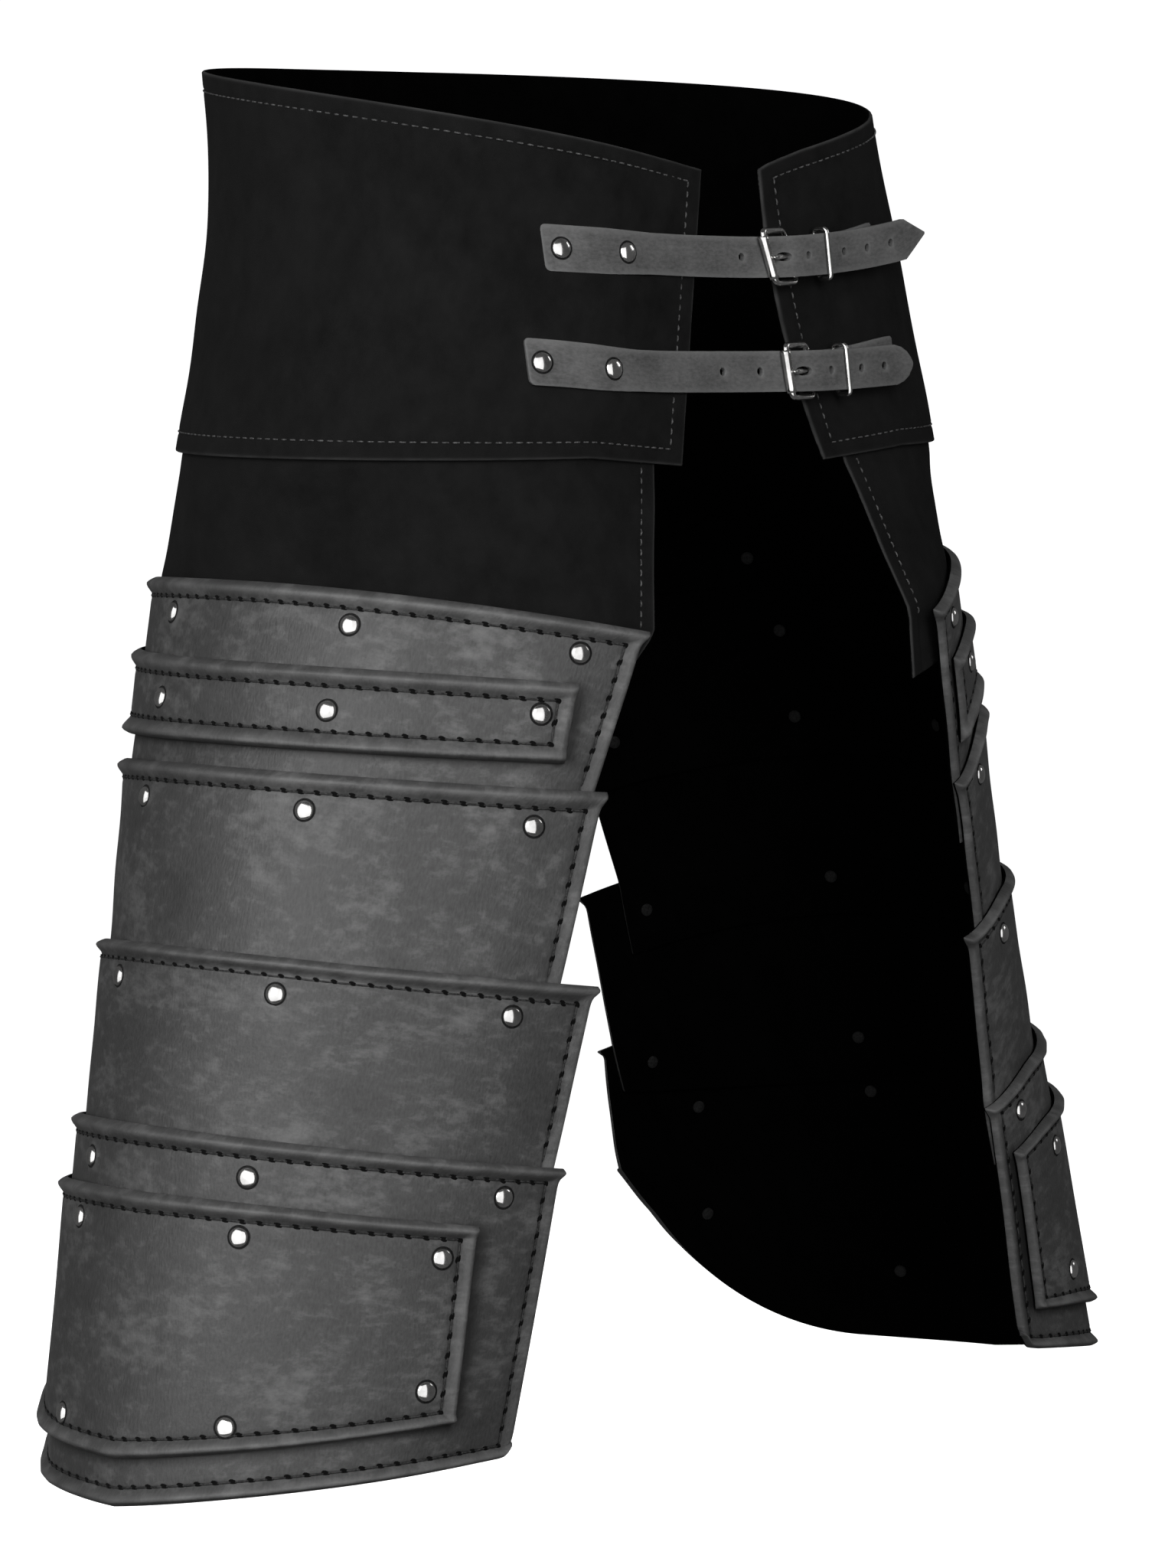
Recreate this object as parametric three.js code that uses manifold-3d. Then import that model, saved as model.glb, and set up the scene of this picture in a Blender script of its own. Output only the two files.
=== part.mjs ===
// A pair of leather tassets hung from a suede waistband, in the form they take when worn.
// Millimetres, +Z up. The wearer faces -Y, the wearer's right is -X.
// The origin is the middle of the waist opening, halfway up the front of the waistband.
import * as THREE from 'three';
import { mergeVertices } from 'three/addons/utils/BufferGeometryUtils.js';
import Module from 'manifold-3d';

const wasm = await Module();
wasm.setup();

const air = 0.35;                // clearance between pieces that touch
const bore = 40;                 // length of the solids that cut the holes, through every wall they meet
const rad = THREE.MathUtils.degToRad;
const { lerp, clamp } = THREE.MathUtils;

// Finishes
const finish = {
  suede: { color: 0x1b1b1c, roughness: 0.95, metalness: 0 },
  plate: { color: 0x4a4a4b, roughness: 0.6, metalness: 0 },
  strap: { color: 0x47484a, roughness: 0.8, metalness: 0 },
  nickel: { color: 0xc9c9c6, roughness: 0.2, metalness: 1 },
};

// Waistband: two half circles joined by straight front and back, the ends meeting at the front
const band = {
  wall: 2.5,
  top: { half: 58, shift: 12, radius: 121, corner: 20 },
  bottom: { half: 89, shift: -5, radius: 119, corner: 50 },
  frontTop: 67, backTop: 116, sideBottom: -62, frontBottom: -67,
  endAngle: -18,                 // angle that stands for the front corners in the top edge's curve
  sweep: { right: 1, left: 2.2 }, // how late the front edge turns outward on its way down
  climb: { right: 1, left: 0.8 }, // how late the top edge climbs from the front to the back
  columns: 14,
  rows: [0, 0.3, 0.69, 1],       // shares of the height, from the top edge down
  pinch: { right: [7, 13.5, 9, 0], left: [0, 0, 0, 0] }, // how far the hip is drawn in at each row
  pinchFrom: 35, pinchFull: 110, // angles between which the pinch sets in
};

// Sections of the tassets, from the top edge of each lame down to the hem of the lowest.
// half: centre of the half circle from the middle; shift: its place along Y; side: height at the hip;
// dipFront, dipRear: how far the edge sinks at the front and the rear;
// reach: angle of the front corner; rivetFront, rivetSide: angles of the rivets, mirrored to the rear
const levels = [
  {
    half: 55, shift: -5, right: 157, left: 153, side: -117,
    dipFront: 31, dipRear: 15, reach: 19, rivetFront: 29, rivetSide: 68,
  },
  {
    half: 93, shift: -9, right: 146, left: 140, side: -198,
    dipFront: 14, dipRear: 18, reach: 14.5, rivetFront: 27.5, rivetSide: 69,
  },
  {
    half: 125, shift: -14, right: 137, left: 130, side: -277,
    dipFront: 19, dipRear: 24, reach: 4.5, rivetFront: 23, rivetSide: 68,
  },
  {
    half: 151, shift: -15, right: 130, left: 129, side: -355,
    dipFront: 20, dipRear: 22, reach: 0.5, rivetFront: 14, rivetSide: 67,
  },
  {
    half: 195, shift: -16, right: 118, left: 132, side: -521,
    dipFront: -17, dipRear: 0, reach: -12, rivetFront: 4, rivetSide: 63,
  },
];
const hem = {
  rise: { right: 75, left: 66 }, riseFrom: 125, riseOver: 60, // it climbs to the rear corner
  drop: { right: 0, left: 14 },  // how much lower it hangs at the hip
  sag: { right: 0, left: 3 },    // and halfway from the hip to the rear
  tip: { right: 0, left: 0.45 }, // how much it rises for each degree past the front
};
// The left tasset sits askew: each level but the hem is raised at the hip, and its front corner hangs
// by droop below that, which fades over so many degrees behind the corner
const askew = { raise: [10, 12, 9, 4.5], droop: [11, 26, 12, 11], over: 24 };
const spacing = [80, 79, 78, 164];   // millimetres between one level and the next at the hip
const flat = 3.2;                // half width, in degrees, of the flat that a rivet sits on
const between = [2, 3, 2];       // columns between the rivets

// Lames: from, to are levels; front, frontLow the angles of the front edge at the top and the bottom.
// The rear edge mirrors it. The left tasset's edges are cut back by so many degrees more at the top and
// the bottom: the front edge by cut and the rear edge by trim
const plateWall = 3;
const plateStep = 3.6;           // a lame sinks this far per level, so the next one passes outside it
const roll = { height: 3, crest: 7, foot: 9, round: 0.8 }; // rolled edge, measured from its edge
const lames = [
  {
    name: 'lame_a', from: 0, to: 1.46, front: 19, frontLow: 14, rivets: 0.19,
    cut: [2, 1.5], trim: [3, 3],
  },
  {
    name: 'lame_b', from: 1, to: 2.46, front: 14.5, frontLow: 10.2, rivets: 0.2,
    cut: [1.5, 1], trim: [5.5, 5],
  },
  {
    name: 'lame_c', from: 2, to: 3.24, front: 4.5, frontLow: -0.3, rivets: 0.2,
    cut: [2.5, 2], trim: [3.6, 3],
  },
  {
    name: 'lame_d', from: 3, to: 4, front: 0.5, frontLow: -12, rivets: 0.105, bends: [3.53, 3.8],
    cut: [2, 6], trim: [2, 0],
  },
];
// Overlays lie on a lame: levels of their edges at the front and at the hip
const overlays = [
  {
    name: 'band_overlay', on: 0,
    topFront: 0.31, topSide: 0.43, lowFront: 0.82, lowSide: 0.88, front: 27.5, frontLow: 24.5,
    cut: [-3.5, -3.5],
  },
  {
    name: 'panel_overlay', on: 3,
    topFront: 3.21, topSide: 3.17, lowFront: 3.83, lowSide: 3.87, front: 18, frontLow: 10.5,
    cut: [-12, -9.5],
  },
];
// Skirt: its front edge stands at frontTop by the waistband, then at frontLow at the first lame's top edge
// and at its own lower edge. It is sewn on from seam above the waistband's lower edge to seamEnd below it
const skirt = {
  wall: 2, seam: 20, seamEnd: 3, below: 0.38, frontTop: 66, frontY: -139, frontAngle: 14,
  frontLow: { right: [92, 112], left: [101, 107] },
};

const rivet = { head: 4.6, dome: 3.1, shank: 1.4, burr: 3.2, burrThick: 1, slack: 0.2, sides: 6, hole: 2.05 };

// Straps: z is the height of the strap's middle; roller, pivot, keeper, holes and tip are places along
// the front, the tip with its half widths
const strap = { wall: 2.5, endWidth: 21, width: 18.6, lift: 0.45, hole: 1.7, holeSides: 8, hang: 7 };
const straps = [
  {
    name: 'upper', z: 27, roller: 10, pivot: 30.5, keeper: 50,
    holes: [-3, 37, 64, 82, 100], tip: [[111, 9.3], [125, 0.6]],
  },
  {
    name: 'lower', z: -25, roller: 18, pivot: 38.5, keeper: 57.5,
    holes: [-21, 4, 47, 70, 88], tip: [[97, 9.3], [104, 7.6], [108.5, 4.6], [110, 1]],
  },
];
// The tongue's middle line by the buckle: place from the roller or the pivot, and height off the band
const rise = {
  beforeRoller: [[-22, 2.3], [-9, 3.2], [0, 5.1], [8, 7.3]],
  overPivot: [[-4, 9.1], [0, 9.5], [5, 9.4]],
  keeper: 9.1,
};
const buckle = { wire: 1.45, halfWidth: 12, corner: 3, bulge: 0.3, rollerHeight: 9, pivotHeight: 4.1 };
const keeper = { wire: 1.1, halfWidth: 11.6, low: 3.75, high: 11.6, corner: 2 };
const prong = { wire: 1.1, taper: 2, hole: 11.2, long: 3.2, tip: 3.2 };
// The buckle's strap: tail, and the ends of its inner and outer faces past the keeper, with their drop
const buckleStrap = {
  wall: 2, width: 18, bend: [3, 4], end: [12, 13], drop: 2, bendDrop: 0.3,
  slot: { long: 20.5, deep: 12, across: 3.2, place: -11.25, height: 8.1 }, // for the prong, at the fold
};

const model = new THREE.Group();
model.name = 'tassets';

// Solids

function geometryOf(positions, faces) {
  const geometry = new THREE.BufferGeometry();
  const numbers = positions.flatMap((point) => point.toArray());
  geometry.setAttribute('position', new THREE.Float32BufferAttribute(numbers, 3));
  geometry.setIndex(faces);
  return geometry;
}

function signedVolume(geometry) {
  const place = geometry.attributes.position;
  const index = geometry.index.array;
  const [a, b, c] = [new THREE.Vector3(), new THREE.Vector3(), new THREE.Vector3()];
  let sum = 0;
  for (let i = 0; i < index.length; i += 3) {
    a.fromBufferAttribute(place, index[i]);
    b.fromBufferAttribute(place, index[i + 1]);
    c.fromBufferAttribute(place, index[i + 2]);
    sum += a.dot(b.cross(c)) / 6;
  }
  return sum;
}

function facingOut(geometry) {
  if (signedVolume(geometry) < 0) {
    geometry.setIndex(Array.from(geometry.index.array).reverse());
  }
  return geometry;
}

// A closed wall between two grids of points, rows by columns
function wallBetween(outer, inner) {
  const rows = outer.length;
  const columns = outer[0].length;
  const positions = [...outer.flat(), ...inner.flat()];
  const shift = rows * columns;
  const at = (row, column) => row * columns + column;
  const faces = [];
  const quad = (a, b, c, d) => faces.push(a, b, c, a, c, d);
  for (let r = 0; r < rows - 1; r += 1) {
    for (let c = 0; c < columns - 1; c += 1) {
      quad(at(r, c), at(r, c + 1), at(r + 1, c + 1), at(r + 1, c));
      quad(shift + at(r, c), shift + at(r + 1, c), shift + at(r + 1, c + 1), shift + at(r, c + 1));
    }
    quad(at(r, 0), at(r + 1, 0), shift + at(r + 1, 0), shift + at(r, 0));
    const last = columns - 1;
    quad(at(r + 1, last), at(r, last), shift + at(r, last), shift + at(r + 1, last));
  }
  for (let c = 0; c < columns - 1; c += 1) {
    quad(at(0, c + 1), at(0, c), shift + at(0, c), shift + at(0, c + 1));
    quad(at(rows - 1, c), at(rows - 1, c + 1), shift + at(rows - 1, c + 1), shift + at(rows - 1, c));
  }
  return facingOut(geometryOf(positions, faces));
}

function toManifold(geometry) {
  const bare = geometry.clone();
  bare.deleteAttribute('normal');
  bare.deleteAttribute('uv');
  const merged = mergeVertices(bare, 1e-4);
  return new wasm.Manifold(new wasm.Mesh({
    numProp: 3,
    vertProperties: new Float32Array(merged.attributes.position.array),
    triVerts: new Uint32Array(merged.index.array),
  }));
}

function withoutTools(geometry, tools) {
  let solid = toManifold(geometry);
  tools.forEach((tool) => {
    solid = solid.subtract(toManifold(tool));
  });
  const mesh = solid.getMesh();
  const cut = new THREE.BufferGeometry();
  cut.setAttribute('position', new THREE.Float32BufferAttribute(mesh.vertProperties, 3));
  cut.setIndex(Array.from(mesh.triVerts));
  return cut;
}

function addPiece(name, geometry, look) {
  const mesh = new THREE.Mesh(geometry, new THREE.MeshStandardMaterial(finish[look]));
  mesh.name = name;
  model.add(mesh);
}

// A closed ring of wire through points that lie in a plane
function wireRing(points, radius, sides) {
  const count = points.length;
  const normal = new THREE.Vector3()
    .crossVectors(points[1].clone().sub(points[0]), points[Math.floor(count / 2)].clone().sub(points[0]))
    .normalize();
  const grid = points.map((point, i) => {
    const along = points[(i + 1) % count].clone().sub(points[(i + count - 1) % count]).normalize();
    const across = new THREE.Vector3().crossVectors(normal, along);
    return Array.from({ length: sides }, (_, k) => {
      const turn = (2 * Math.PI * k) / sides;
      const rim = point.clone().addScaledVector(normal, radius * Math.cos(turn));
      return rim.addScaledVector(across, radius * Math.sin(turn));
    });
  });
  const faces = [];
  const at = (i, k) => (i % count) * sides + (k % sides);
  for (let i = 0; i < count; i += 1) {
    for (let k = 0; k < sides; k += 1) {
      faces.push(at(i, k), at(i, k + 1), at(i + 1, k + 1), at(i, k), at(i + 1, k + 1), at(i + 1, k));
    }
  }
  return facingOut(geometryOf(grid.flat(), faces));
}

// Waistband

const bandAngles = Array.from({ length: band.columns + 1 }, (_, i) => (180 * i) / band.columns);

function bandTopHeight(side, angle) {
  const share = ((angle - band.endAngle) / (180 - band.endAngle)) ** band.climb[side];
  return lerp(band.frontTop, band.backTop, Math.sin((share * Math.PI) / 2));
}

function bandBottomHeight(angle) {
  return lerp(band.sideBottom, band.frontBottom, clamp((10 - angle) / (10 - band.endAngle), 0, 1));
}

function bandPinch(side, angle, down) {
  const { rows, pinch } = band;
  const row = clamp(rows.filter((share) => share <= down).length, 1, rows.length - 1);
  const share = clamp((down - rows[row - 1]) / (rows[row] - rows[row - 1]), 0, 1);
  const amount = THREE.MathUtils.smoothstep(angle, band.pinchFrom, band.pinchFull);
  return amount * lerp(pinch[side][row - 1], pinch[side][row], share);
}

// A point on the waistband at an angle from the front ('corner' is the front edge), down is 0 to 1
function bandPoint(side, angle, down, lift) {
  const part = (key) => lerp(band.top[key], band.bottom[key], down);
  const radius = part('radius') + lift;
  const sign = side === 'right' ? -1 : 1;
  const isCorner = angle === 'corner';
  const turn = isCorner ? band.endAngle : angle;
  const z = lerp(bandTopHeight(side, turn), bandBottomHeight(turn), down);
  if (isCorner) {
    const x = lerp(band.top.corner, band.bottom.corner, down ** band.sweep[side]);
    return new THREE.Vector3(sign * x, part('shift') - radius, z);
  }
  const x = part('half') + radius * Math.sin(rad(angle)) - bandPinch(side, angle, down);
  return new THREE.Vector3(sign * x, part('shift') - radius * Math.cos(rad(angle)), z);
}

function bandPointAtHeight(side, angle, z, lift) {
  const turn = angle === 'corner' ? band.endAngle : angle;
  const top = bandTopHeight(side, turn);
  return bandPoint(side, angle, (top - z) / (top - bandBottomHeight(turn)), lift);
}

function buildWaistband() {
  const stations = [
    ['right', 'corner'],
    ...bandAngles.map((angle) => ['right', angle]),
    ...bandAngles.slice().reverse().map((angle) => ['left', angle]),
    ['left', 'corner'],
  ];
  const grid = (lift) => band.rows.map((down) => (
    stations.map(([side, angle]) => bandPoint(side, angle, down, lift))
  ));
  addPiece('waistband', wallBetween(grid(0), grid(-band.wall)), 'suede');
}

// Tassets

function column(key, level) {
  const low = clamp(Math.floor(level), 0, levels.length - 2);
  return lerp(levels[low][key], levels[low + 1][key], level - low);
}

function edgeHeight(index, side, angle) {
  const row = levels[index];
  const sine = Math.sin(rad(clamp(angle, 0, 180))) + Math.min(rad(angle), 0);
  if (index < levels.length - 1) {
    const height = row.side - (angle < 90 ? row.dipFront : row.dipRear) * (1 - sine);
    if (side === 'right') {
      return height;
    }
    const near = 1 - THREE.MathUtils.smoothstep(angle, row.reach, row.reach + askew.over);
    return height + askew.raise[index] * (angle < 90 ? 1 : sine) - askew.droop[index] * near;
  }
  const frontLift = angle < 90 ? -row.dipFront * Math.cos(rad(Math.max(angle, 0))) : 0;
  const climb = hem.rise[side] * (Math.max(angle - hem.riseFrom, 0) / hem.riseOver) ** 2;
  const drop = hem.drop[side] * Math.sin(rad(clamp(angle, 0, 180)));
  const sag = hem.sag[side] * Math.sin(2 * rad(clamp(angle, 90, 180) - 90));
  return row.side + frontLift + climb - drop - sag + hem.tip[side] * Math.max(-angle, 0);
}

// A point on the master surface of a tasset; lift moves it outward
function sectionPoint(side, level, angle, lift) {
  const base = column(side, level);
  const turn = clamp(angle, 0, 180);
  const beyond = base * rad(angle - turn) * (angle < 0 ? 1 : -1);
  const low = clamp(Math.floor(level), 0, levels.length - 2);
  const x = column('half', level) + (base + lift) * Math.sin(rad(turn)) + beyond;
  return new THREE.Vector3(
    side === 'right' ? -x : x,
    column('shift', level) - (base + lift) * Math.cos(rad(turn)),
    lerp(edgeHeight(low, side, angle), edgeHeight(low + 1, side, angle), level - low),
  );
}

// Angles of the columns at a level, without the front and rear edges, with a flat at each rivet
function columnAngles(level) {
  const front = column('rivetFront', level);
  const hip = column('rivetSide', level);
  const rivets = [front, hip, 180 - hip, 180 - front];
  const angles = [front - flat];
  rivets.forEach((angle, i) => {
    angles.push(angle + flat);
    if (i < between.length) {
      const next = rivets[i + 1] - flat;
      for (let k = 1; k <= between[i]; k += 1) {
        angles.push(lerp(angle + flat, next, k / between[i]));
      }
    }
  });
  return angles;
}

const rivetColumns = [0, 1, 2, 3].map((i) => between.slice(0, i).reduce((sum, n) => sum + n + 1, 0));

// The front or rear edge of a plate lies on the straight run between two columns, or between the reach
// and the first column; skip is how many columns it leaves out
function edgePoint(side, level, angle, lift, rear, skip) {
  const [outer, inner] = [column('reach', level), ...columnAngles(level)].slice(skip);
  const share = (angle - outer) / (inner - outer);
  const turned = (value) => (rear ? 180 - value : value);
  const outermost = sectionPoint(side, level, turned(outer), lift);
  return outermost.lerp(sectionPoint(side, level, turned(inner), lift), share);
}

// One row of a plate: levelAt gives the level at an angle, front is the angle of its front edge, trim
// how much more its rear edge is cut back, liftAt gives the lift at a level, skip how many columns are
// left out at the front and the rear
function plateRow(side, levelAt, front, trim, liftAt, skip = [0, 0]) {
  const middle = columnAngles(levelAt(90)).map((angle, k) => {
    const level = levelAt(angle);
    return sectionPoint(side, level, columnAngles(level)[k], liftAt(level));
  });
  const [atFront, atRear] = [levelAt(front), levelAt(180 - front - trim)];
  return [
    edgePoint(side, atFront, front, liftAt(atFront), false, skip[0]),
    ...middle.slice(skip[0], middle.length - skip[1]),
    edgePoint(side, atRear, front + trim, liftAt(atRear), true, skip[1]),
  ];
}

const plateLift = (lame, level) => -roll.height - plateStep * (level - lame.from);

// Depths, from the top edge to the bottom edge, of the rows that make a rolled edge
function rollRows(size, rolledTop, rolledBottom) {
  const rows = rolledTop
    ? [[0, roll.height - roll.round], [roll.crest, roll.height], [roll.foot, 0]]
    : [[0, 0]];
  if (rolledBottom) {
    rows.push([size - roll.foot, 0], [size - roll.crest, roll.height], [size, roll.height - roll.round]);
  }
  return rows;
}

function lameRows(lame) {
  const size = spacing[lame.from] * Math.min(lame.to - lame.from, 1);
  const rows = rollRows(size, true, lame.to === 4).map(([depth, bulge]) => ({
    level: lame.from + depth / spacing[lame.from], bulge,
  }));
  if (lame.to !== 4) {
    rows.push({ level: lame.from + 1, bulge: 0 }, { level: lame.to, bulge: 0 });
  }
  if (lame.from > 0) {
    rows.push({ level: lames[lame.from - 1].to, bulge: 0 });
  }
  (lame.bends ?? []).forEach((level) => rows.push({ level, bulge: 0 }));
  return rows.sort((a, b) => a.level - b.level);
}

function lameSolid(side, lame) {
  const grid = (inside) => lameRows(lame).map(({ level, bulge }) => {
    const share = (level - lame.from) / (lame.to - lame.from);
    const lift = plateLift(lame, level) + (inside ? -plateWall : bulge);
    const [cut, trim] = side === 'left' ? [lerp(...lame.cut, share), lerp(...lame.trim, share)] : [0, 0];
    const front = lerp(lame.front, lame.frontLow, share);
    return plateRow(side, () => level, front + cut, trim - cut, () => lift);
  });
  return wallBetween(grid(false), grid(true));
}

function overlaySolid(side, overlay) {
  const lame = lames[overlay.on];
  const ends = [overlay.front + (side === 'left' ? overlay.cut[0] : 0), overlay.front];
  const skip = ends.map((end) => columnAngles(overlay.topFront).filter((angle) => angle < end).length);
  const size = spacing[lame.from] * (overlay.lowSide - overlay.topSide);
  const rows = rollRows(size, true, true);
  rows.splice(3, 0, [size / 2, 0]);
  const grid = (inside) => rows.map(([depth, bulge]) => {
    const share = depth / size;
    const levelAt = (angle) => lerp(
      lerp(overlay.topFront, overlay.topSide, Math.sin(rad(clamp(angle, 0, 180)))),
      lerp(overlay.lowFront, overlay.lowSide, Math.sin(rad(clamp(angle, 0, 180)))),
      share,
    );
    const liftAt = (level) => plateLift(lame, level) + air + (inside ? 0 : plateWall + bulge);
    const front = lerp(overlay.front, overlay.frontLow, share);
    const cut = side === 'left' ? lerp(...overlay.cut, share) : 0;
    return plateRow(side, levelAt, front + cut, -cut, liftAt, skip);
  });
  return wallBetween(grid(false), grid(true));
}

// Place and outward normal of the flat under a rivet
function rivetSeat(side, lame, index) {
  const level = lame.from + lame.rivets;
  const span = 0.02;
  const corner = (at, k) => {
    const angle = columnAngles(at)[rivetColumns[index] + k];
    return sectionPoint(side, at, angle, plateLift(lame, at));
  };
  const [a, b] = [corner(level - span, 0), corner(level - span, 1)];
  const [c, d] = [corner(level + span, 1), corner(level + span, 0)];
  const place = a.clone().add(b).add(c).add(d).multiplyScalar(0.25);
  const normal = new THREE.Vector3().crossVectors(c.clone().sub(a), d.clone().sub(b)).normalize();
  if (normal.dot(new THREE.Vector3(place.x, place.y, 0)) < 0) {
    normal.negate();
  }
  return { place, normal };
}

function aimed(geometry, seat, lift) {
  const turn = new THREE.Quaternion().setFromUnitVectors(new THREE.Vector3(0, 1, 0), seat.normal);
  geometry.applyQuaternion(turn);
  geometry.translate(...seat.place.clone().addScaledVector(seat.normal, lift).toArray());
  return geometry;
}

// A domed head outside, a shank through the walls and a burr inside
function rivetSolid(seat, grip) {
  const profile = [
    [0, rivet.dome], [rivet.head * 0.75, rivet.dome * 0.75], [rivet.head, 0],
    [rivet.shank, 0], [rivet.shank, -grip], [rivet.burr, -grip], [rivet.burr, -grip - rivet.burrThick],
    [0, -grip - rivet.burrThick],
  ].map(([x, y]) => new THREE.Vector2(x, y));
  return facingOut(tidied(aimed(new THREE.LatheGeometry(profile.reverse(), rivet.sides), seat, air)));
}

function tidied(geometry) {
  geometry.deleteAttribute('normal');
  geometry.deleteAttribute('uv');
  return mergeVertices(geometry, 1e-4);
}

function rivetHole(seat) {
  return aimed(new THREE.CylinderGeometry(rivet.hole, rivet.hole, bore / 2, rivet.sides), seat, 0);
}

// The skirt hangs from the seam inside the waistband to the first row of rivets
function skirtSolid(side) {
  const sign = side === 'right' ? -1 : 1;
  const grid = (inside) => {
    const fall = inside ? -skirt.wall : 0;
    const plateRowAt = (level) => {
      const lift = plateLift(lames[0], level) - plateWall - air + fall;
      const row = plateRow(side, () => level, column('reach', level), 0, () => lift);
      [0, row.length - 1].forEach((i) => {
        const isFront = i === 0;
        const y = skirt.frontY - fall;
        const angle = isFront ? skirt.frontAngle : 180 - skirt.frontAngle;
        row[i].x = sign * skirt.frontLow[side][level > 0 ? 1 : 0];
        row[i].y = isFront ? y : 2 * column('shift', level) - y;
        row[i].z = sectionPoint(side, level, angle, lift).z;
      });
      return row;
    };
    const bandRow = (z) => {
      const angles = columnAngles(0);
      const lift = -band.wall - air + fall;
      const middle = angles.map((angle) => bandChord(side, angle, z, lift));
      const front = bandChord(side, 0, z, lift);
      const rear = bandChord(side, 180, z, lift);
      front.x = sign * skirt.frontTop;
      rear.x = sign * skirt.frontTop;
      return [front, ...middle, rear];
    };
    const seam = [skirt.seam, -skirt.seamEnd].map((above) => bandRow(band.sideBottom + above));
    return [...seam, plateRowAt(0), plateRowAt(skirt.below)];
  };
  return wallBetween(grid(false), grid(true));
}

// A point on the flat faces of the waistband, between its columns
function bandChord(side, angle, z, lift) {
  const step = 180 / band.columns;
  const low = Math.min(Math.floor(angle / step), band.columns - 1);
  const a = bandPointAtHeight(side, bandAngles[low], z, lift);
  const b = bandPointAtHeight(side, bandAngles[low + 1], z, lift);
  return a.lerp(b, angle / step - low);
}

function buildTasset(side) {
  const seats = lames.map((lame) => rivetColumns.map((_, i) => rivetSeat(side, lame, i)));
  lames.forEach((lame, row) => {
    const holes = seats[row].map(rivetHole);
    if (row + 1 < lames.length) {
      holes.push(...seats[row + 1].map(rivetHole));
    }
    addPiece(`${lame.name}_${side}`, withoutTools(lameSolid(side, lame), holes), 'plate');
  });
  overlays.forEach((overlay) => {
    addPiece(`${overlay.name}_${side}`, overlaySolid(side, overlay), 'plate');
  });
  addPiece(`skirt_${side}`, withoutTools(skirtSolid(side), seats[0].map(rivetHole)), 'suede');
  seats.forEach((row, i) => {
    const inner = i === 0 ? skirt.wall : plateWall;
    const grip = 2 * air + plateWall + (i === 0 ? air : plateStep - plateWall) + inner + rivet.slack;
    row.forEach((seat, k) => {
      addPiece(`rivet_${'abcd'[i]}${k + 1}_${side}`, rivetSolid(seat, grip), 'nickel');
    });
  });
}

// Straps. Their own frame: along X, height outward from the waistband's front face, across up the band

function frontFace(z) {
  return bandPointAtHeight('left', 0, z, 0).y;
}

function strapPoint(line, along, height, across) {
  const z = line.z + across;
  return new THREE.Vector3(along, frontFace(z) - height, z);
}

// Stations of the tongue's middle line over the gap and the buckle: along, height, half width
function tonguePath(line) {
  const half = strap.width / 2;
  return [
    ...rise.beforeRoller.map(([along, height]) => [line.roller + along, height, half]),
    ...rise.overPivot.map(([along, height]) => [line.pivot + along, height, half]),
    [line.keeper, rise.keeper, half],
    ...line.tip.map(([along, wide]) => [along, strap.hang, wide]),
  ];
}

function tongueSolid(line) {
  const ribbon = (lift) => {
    const edge = (up) => {
      const laid = [bandAngles[2], bandAngles[1], 0].map((angle, i, all) => {
        const wide = lerp(strap.endWidth, strap.width, i / all.length) / 2;
        return bandPointAtHeight('right', angle, line.z + up * wide, strap.lift + lift);
      });
      const corner = bandPointAtHeight('right', 'corner', line.z + (up * strap.width) / 2, strap.lift + lift);
      const free = tonguePath(line).map(([along, height, wide]) => (
        strapPoint(line, along, height - strap.wall / 2 + lift, up * wide)
      ));
      return [...laid, corner, ...free];
    };
    return [edge(1), edge(-1)];
  };
  const places = [...line.holes, line.roller + prong.hole];
  const tools = places.map((along, i) => {
    const long = i === places.length - 1;
    const tool = new THREE.CylinderGeometry(strap.hole, strap.hole, bore, strap.holeSides);
    tool.scale(long ? prong.long : 1, 1, 1);
    tool.translate(along, frontFace(line.z), line.z);
    return tool;
  });
  return withoutTools(wallBetween(ribbon(strap.wall), ribbon(0)), tools);
}

// Outline of the buckle's strap in along and height: a tail on the band and a fold round the pivot
function buckleStrapSolid(line) {
  const low = strap.lift;
  const { wall, bend, end, drop, bendDrop } = buckleStrap;
  const ring = buckle.wire + air;
  const fold = (radius) => Array.from({ length: 5 }, (_, i) => {
    const turn = rad(270 - 45 * i);
    return [line.pivot + radius * Math.cos(turn), buckle.pivotHeight + radius * Math.sin(turn)];
  });
  const shelf = buckle.pivotHeight + ring;
  const inside = [...fold(ring), [line.keeper + bend[0], shelf], [line.keeper + end[0], shelf - drop]];
  const outside = [
    ...fold(ring + wall),
    [line.keeper + bend[1], shelf + wall - bendDrop],
    [line.keeper + end[1], shelf + wall - bendDrop - drop],
  ];
  const grid = (points, lift) => [1, -1].map((up) => {
    const across = (up * buckleStrap.width) / 2;
    const tail = [bandAngles[1], 0].map((angle) => bandPointAtHeight('left', angle, line.z + across, lift));
    const rest = points.map(([along, height], i) => strapPoint(line, along, i === 0 ? lift : height, across));
    return [...tail, ...rest];
  });
  const { long, deep, across, place, height } = buckleStrap.slot;
  const slot = new THREE.BoxGeometry(long, deep, across);
  slot.translate(line.pivot + place, frontFace(line.z) - height, line.z);
  return withoutTools(wallBetween(grid(outside, low), grid(inside, low + wall)), [slot]);
}

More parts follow.
